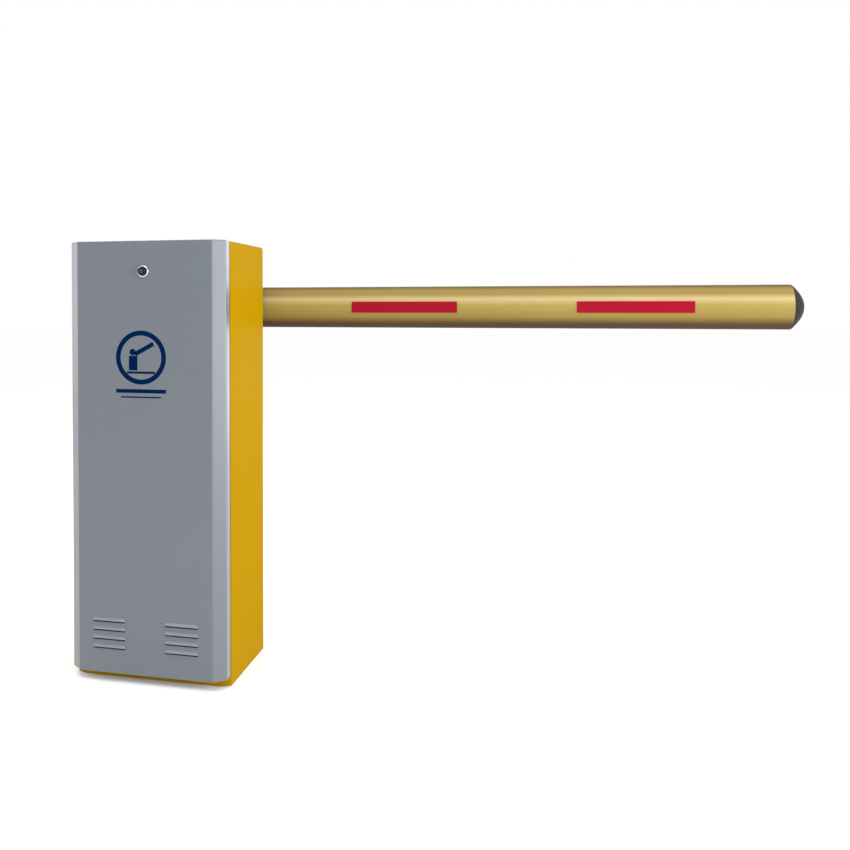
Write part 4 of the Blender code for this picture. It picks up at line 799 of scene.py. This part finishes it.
def disc_film(radius, x, z):
    """A flat disc of film on the door's face."""
    front, back = DOOR_FACE - FILM, DOOR_FACE - FILM_BACK
    return turned([(0.0, front), (radius, front), (radius, back), (0.0, back)], "Y", (x, z))


def make_sign():
    """Plain navy sign: a ring round a small barrier with its boom half raised, over two bars.

    Places and sizes on it are shares of the ring's radius.
    """
    x, z, size = SIGN_X, SIGN_Z, SIGN_RADIUS

    def bar(x0, z0, x1, z1):
        return film([(x + x0 * size, z + z0 * size), (x + x1 * size, z + z0 * size),
                     (x + x1 * size, z + z1 * size), (x + x0 * size, z + z1 * size)])

    tilt = math.radians(28)
    start, length, half = Vector((-0.24, 0.12)), 0.84, 0.080
    run = Vector((math.cos(tilt), math.sin(tilt)))
    side = Vector((-run.y, run.x)) * half
    corners = [start - side, start + run * length - side, start + run * length + side, start + side]
    boom = film([(x + c.x * size, z + c.y * size) for c in corners])
    ring = ring_film(size, size * 0.82, x, z)
    post, ground = bar(-0.48, -0.48, -0.14, 0.06), bar(-0.56, -0.60, 0.56, -0.52)
    hub = disc_film(size * 0.12, x - 0.33 * size, z + 0.20 * size)
    wide, thin = bar(-1.0, -1.32, 1.0, -1.18), bar(-0.8, -1.50, 0.8, -1.45)
    piece("door_sign", joined([ring, post, ground, boom, hub, wide, thin]), "navy", "door")


# ---------------------------------------------------------------- boom
def make_boom():
    """Gold tube, its caps and the two red strips."""
    centre = (BOOM_Y, AXIS_HEIGHT)
    outer, inner, lip = BOOM_RADIUS, BOOM_RADIUS - BOOM_WALL, TUBE_LIP
    start, end = TUBE_LOW.x, TUBE_HIGH.x
    profile = [(inner, start), (outer - lip, start), (outer - 0.3 * lip, start + 0.3 * lip),
               (outer, start + lip)]
    profile += [(outer, start + lip + (end - start - 2 * lip) * i / TUBE_RINGS)
                for i in range(1, TUBE_RINGS)]
    profile += [(outer, end - lip), (outer - 0.3 * lip, end - 0.3 * lip), (outer - lip, end), (inner, end)]
    piece("boom_skin", turned(profile, "X", centre, sides=96, closed=True), "gold_boom", "boom",
          ["boom_tube"])
    rim, plug = outer - CAP_INSET, inner - PLUG_CLEARANCE
    piece("boom_nose", turned(nose_profile(rim, plug, end), "X", centre, sides=96), "black_plastic",
          "boom", ["boom_end_cap"])
    piece("boom_tail", turned(tail_profile(rim, plug, start), "X", centre, sides=96), "black_plastic",
          "boom", ["boom_tail_cap"])
    for number in (1, 2):
        make_strip(f"red_strip_{number}", number)


def nose_profile(rim, plug, end):
    """Domed cap at the tip: a plug in the tube and a shallow crown with a flat middle."""
    seat, tip = end + GAP, low_high("boom_end_cap")[1].x
    profile = [(0.0, end - CAP_SPIGOT), (plug, end - CAP_SPIGOT), (plug, seat), (rim, seat)]
    profile += [(rim, seat + CAP_RIM * 0.7), (rim - CAP_EDGE, seat + CAP_RIM)]
    for i in range(1, CAP_STEPS + 1):
        share = 1 - (1 - CAP_CROWN) * i / CAP_STEPS
        rise = (1 - share ** 2) / (1 - CAP_CROWN ** 2)
        profile.append(((rim - CAP_EDGE) * share, seat + CAP_RIM + (tip - seat - CAP_RIM) * rise))
    return profile + [(0.0, tip)]


def tail_profile(rim, plug, start):
    """Flat cap at the short end."""
    back, front = TAIL_LOW.x, start - GAP
    profile = [(0.0, back), (rim - 1.5 * TAIL_ROUND, back)]
    profile += arc((rim - TAIL_ROUND, back + TAIL_ROUND), TAIL_ROUND, 270, 360, 5)
    return profile + [(rim, front), (plug, front), (plug, TAIL_HIGH.x), (0.0, TAIL_HIGH.x)]


def make_strip(node, number):
    """Red film wrapped on the front of the tube, its corners slightly rounded."""
    low, high = low_high(node)
    radius = BOOM_Y - low.y
    half = (high.z - low.z) / 2
    columns, rows, corner = 60, 12, STRIP_CORNER
    outside, inside = [], []
    for column in range(columns + 1):
        x = low.x + (high.x - low.x) * column / columns
        gap = min(x - low.x, high.x - x)
        pull = corner - math.sqrt(max(0.0, corner ** 2 - max(0.0, corner - gap) ** 2))
        for row in range(rows + 1):
            z = (half - pull) * (2 * row / rows - 1)
            angle = z / radius
            for shell, reach in ((outside, radius), (inside, radius - STRIP_FILM)):
                shell.append(Vector((x, BOOM_Y - reach * math.cos(angle),
                                     AXIS_HEIGHT + reach * math.sin(angle))))
    piece(f"boom_strip_{number}", walled(outside, inside, columns, rows), "red_strip", "boom", [node])


def make_saddle():
    """Cradle behind the cabinet and the two U-bolts that hold the boom in it."""
    low, high = low_high("boom_saddle")
    body = rounded(block(low, high), lambda edge: edge.verts[0].co.y != edge.verts[1].co.y,
                   SADDLE_CORNER, 6)
    seat = BOOM_RADIUS + GAP
    trough = turned([(seat, low.x - SHEET), (seat, high.x + SHEET)], "X", (BOOM_Y, AXIS_HEIGHT), sides=96)
    holes, wires = [], {}
    for name in ("inner", "outer"):
        first, second = low_high(f"boom_u_bolt_{name}")
        radius = (second.x - first.x) / 2
        x = (first.x + second.x) / 2
        leg = (second.z - first.z) / 2 - radius
        bend = [Vector((x, BOOM_Y + u, AXIS_HEIGHT + v)) for u, v in arc((0.0, 0.0), leg, -90, 90, 36)]
        feet = [Vector((x, first.y, AXIS_HEIGHT + side * leg)) for side in (-1, 1)]
        wires[name] = sweep([feet[0]] + bend + [feet[1]], radius * 0.98, sides=20)
        bore = radius + GAP
        holes += [turned([(bore, low.y + SHEET), (bore, high.y + SHEET)], "Y",
                         (x, AXIS_HEIGHT + side * leg), sides=32) for side in (-1, 1)]
    piece("saddle_skin", carved(body, cut=[trough] + holes), "frame_paint", "boom", ["boom_saddle"],
          bevel=SADDLE_EDGE)
    for name, wire in wires.items():
        piece(f"u_bolt_skin_{name}", wire, "zinc_plated", "boom", [f"boom_u_bolt_{name}"])


# ---------------------------------------------------------------- springs
def make_springs():
    """Wound pull springs: the coils and the loops, which keep their shape."""
    for name in ("front", "rear"):
        low, high = low_high(f"balance_spring_{name}")
        hanger_low, hanger_high = low_high(f"spring_hanger_{name}")
        x = JOINTS["hanger_swing"]["pos_m"][0]
        y = (hanger_low.y + hanger_high.y) / 2
        radius = (high.x - low.x) / 2 - SPRING_WIRE - GAP
        foot, head = low.z + SPRING_WIRE, high.z - SPRING_WIRE
        start = foot + 2 * SPRING_LOOP + SPRING_NECK
        end = head - 2 * SPRING_LOOP - SPRING_NECK
        make_coil(name, (x, y), radius, start, end)
        make_loop(f"{name}_lower", (x, y), foot + SPRING_LOOP, start, radius, "root")
        make_loop(f"{name}_upper", (x, y), head - SPRING_LOOP, end, radius, "spring_hangers")


def make_coil(name, place, radius, start, end):
    """The turns of a spring, from its lower neck to its upper neck."""
    x, y = place
    count = SPRING_TURNS * TURN_STEPS
    path = []
    for i in range(count + 1):
        angle = 2 * math.pi * i / TURN_STEPS
        path.append(Vector((x + radius * math.cos(angle), y + radius * math.sin(angle),
                            start + (end - start) * i / count)))
    coil = piece(f"spring_coil_{name}", sweep(path, SPRING_WIRE, sides=10), "machined_steel", "root",
                 [f"balance_spring_{name}"])
    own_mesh(coil)


def make_loop(name, place, centre, leg, radius, body):
    """The loop at one end of a spring, bent over to the first turn of the coil."""
    x, y = place
    turn = 1 if leg > centre else -1
    path = [Vector((x, y + u, centre + turn * v)) for u, v in arc((0.0, 0.0), SPRING_LOOP, -250, 70, 28)]
    path.append(Vector((x + radius * 0.6, y, leg - turn * SPRING_BEND)))
    path.append(Vector((x + radius, y, leg)))
    piece(f"spring_loop_{name}", sweep(path, SPRING_WIRE, sides=10), "machined_steel", body)


# ---------------------------------------------------------------- CAD nodes that stay
def finish_frame_nodes():
    """Give every CAD node that still shows its finish and small rounded edges."""
    slots = {part["node"]: part["material_slot"] for part in RECORD["subparts"]}
    slots["control_board"] = "board"
    for name, item in frame["nodes"].items():
        item.data.materials.clear()
        item.data.materials.append(FINISH[slots[name]])
        if item.hide_render:
            continue
        weld = item.modifiers.new("weld", "WELD")
        weld.merge_threshold = 0.00001
        polish(item, FRAME_EDGE)


# ---------------------------------------------------------------- stage
LIT_POINT = Vector((0.3, 0.0, 0.6))
LIGHTS = (                    # name, place, size and power in watts
    ("key_right", (4.0, -1.3, 0.65), (2.4, 3.2), 240.0),
    ("fill_left", (-3.6, -0.2, 1.5), (2.0, 2.4), 40.0),
    ("back", (0.6, 3.8, 1.2), (3.0, 2.4), 60.0),
    ("top", (0.4, -1.7, 3.2), (2.4, 1.6), 32.0),
)


def make_stage():
    """Pale floor, soft lights all round and the camera."""
    floor = bpy.data.objects.new("studio_floor", block((-30, -30, -0.02), (30, 30, -0.0005)))
    bpy.context.scene.collection.objects.link(floor)
    shader = Shader("studio_floor", (0.98, 0.98, 0.98), 0.90, Specular_IOR_Level=0.0)
    shader.colour(shader.mix(shader.noise(0.6, 2.0), (0.975, 0.975, 0.975), (0.985, 0.985, 0.985)))
    floor.data.materials.append(shader.material)
    world = bpy.data.worlds.new("studio")
    bpy.context.scene.world = world
    world.use_nodes = True
    backdrop = world.node_tree.nodes["Background"]
    backdrop.inputs["Color"].default_value = (1.0, 1.0, 1.0, 1.0)
    backdrop.inputs["Strength"].default_value = 1.0
    for name, place, size, power in LIGHTS:
        add_light(name, place, size, power)
    add_camera()
    bpy.context.scene.view_settings.view_transform = "Standard"


def add_camera():
    """Camera at the photograph's angle: in front of the boom, at about its height."""
    camera = bpy.data.cameras.new("camera")
    camera.sensor_width = 36.0
    camera.lens = 37.95
    camera.shift_x = 0.100
    camera.shift_y = -0.114
    camera.clip_start = 0.05
    view = bpy.data.objects.new("camera", camera)
    bpy.context.scene.collection.objects.link(view)
    view.location = (0.866, FRONT - 1.851, 0.831)
    view.rotation_euler = (math.radians(90 - 1.23), 0.0, math.radians(13.23))
    bpy.context.scene.camera = view


def add_light(name, place, size, power):
    """A rectangular soft light that faces the barrier."""
    light = bpy.data.lights.new(name, "AREA")
    light.shape = "RECTANGLE"
    light.size, light.size_y = size
    light.energy = power
    lamp = bpy.data.objects.new(name, light)
    bpy.context.scene.collection.objects.link(lamp)
    lamp.location = place
    lamp.rotation_euler = (LIT_POINT - Vector(place)).to_track_quat("-Z", "Y").to_euler()


make_cabinet()
make_door()
make_lock()
make_sign()
make_boom()
make_saddle()
make_springs()
finish_frame_nodes()
make_stage()
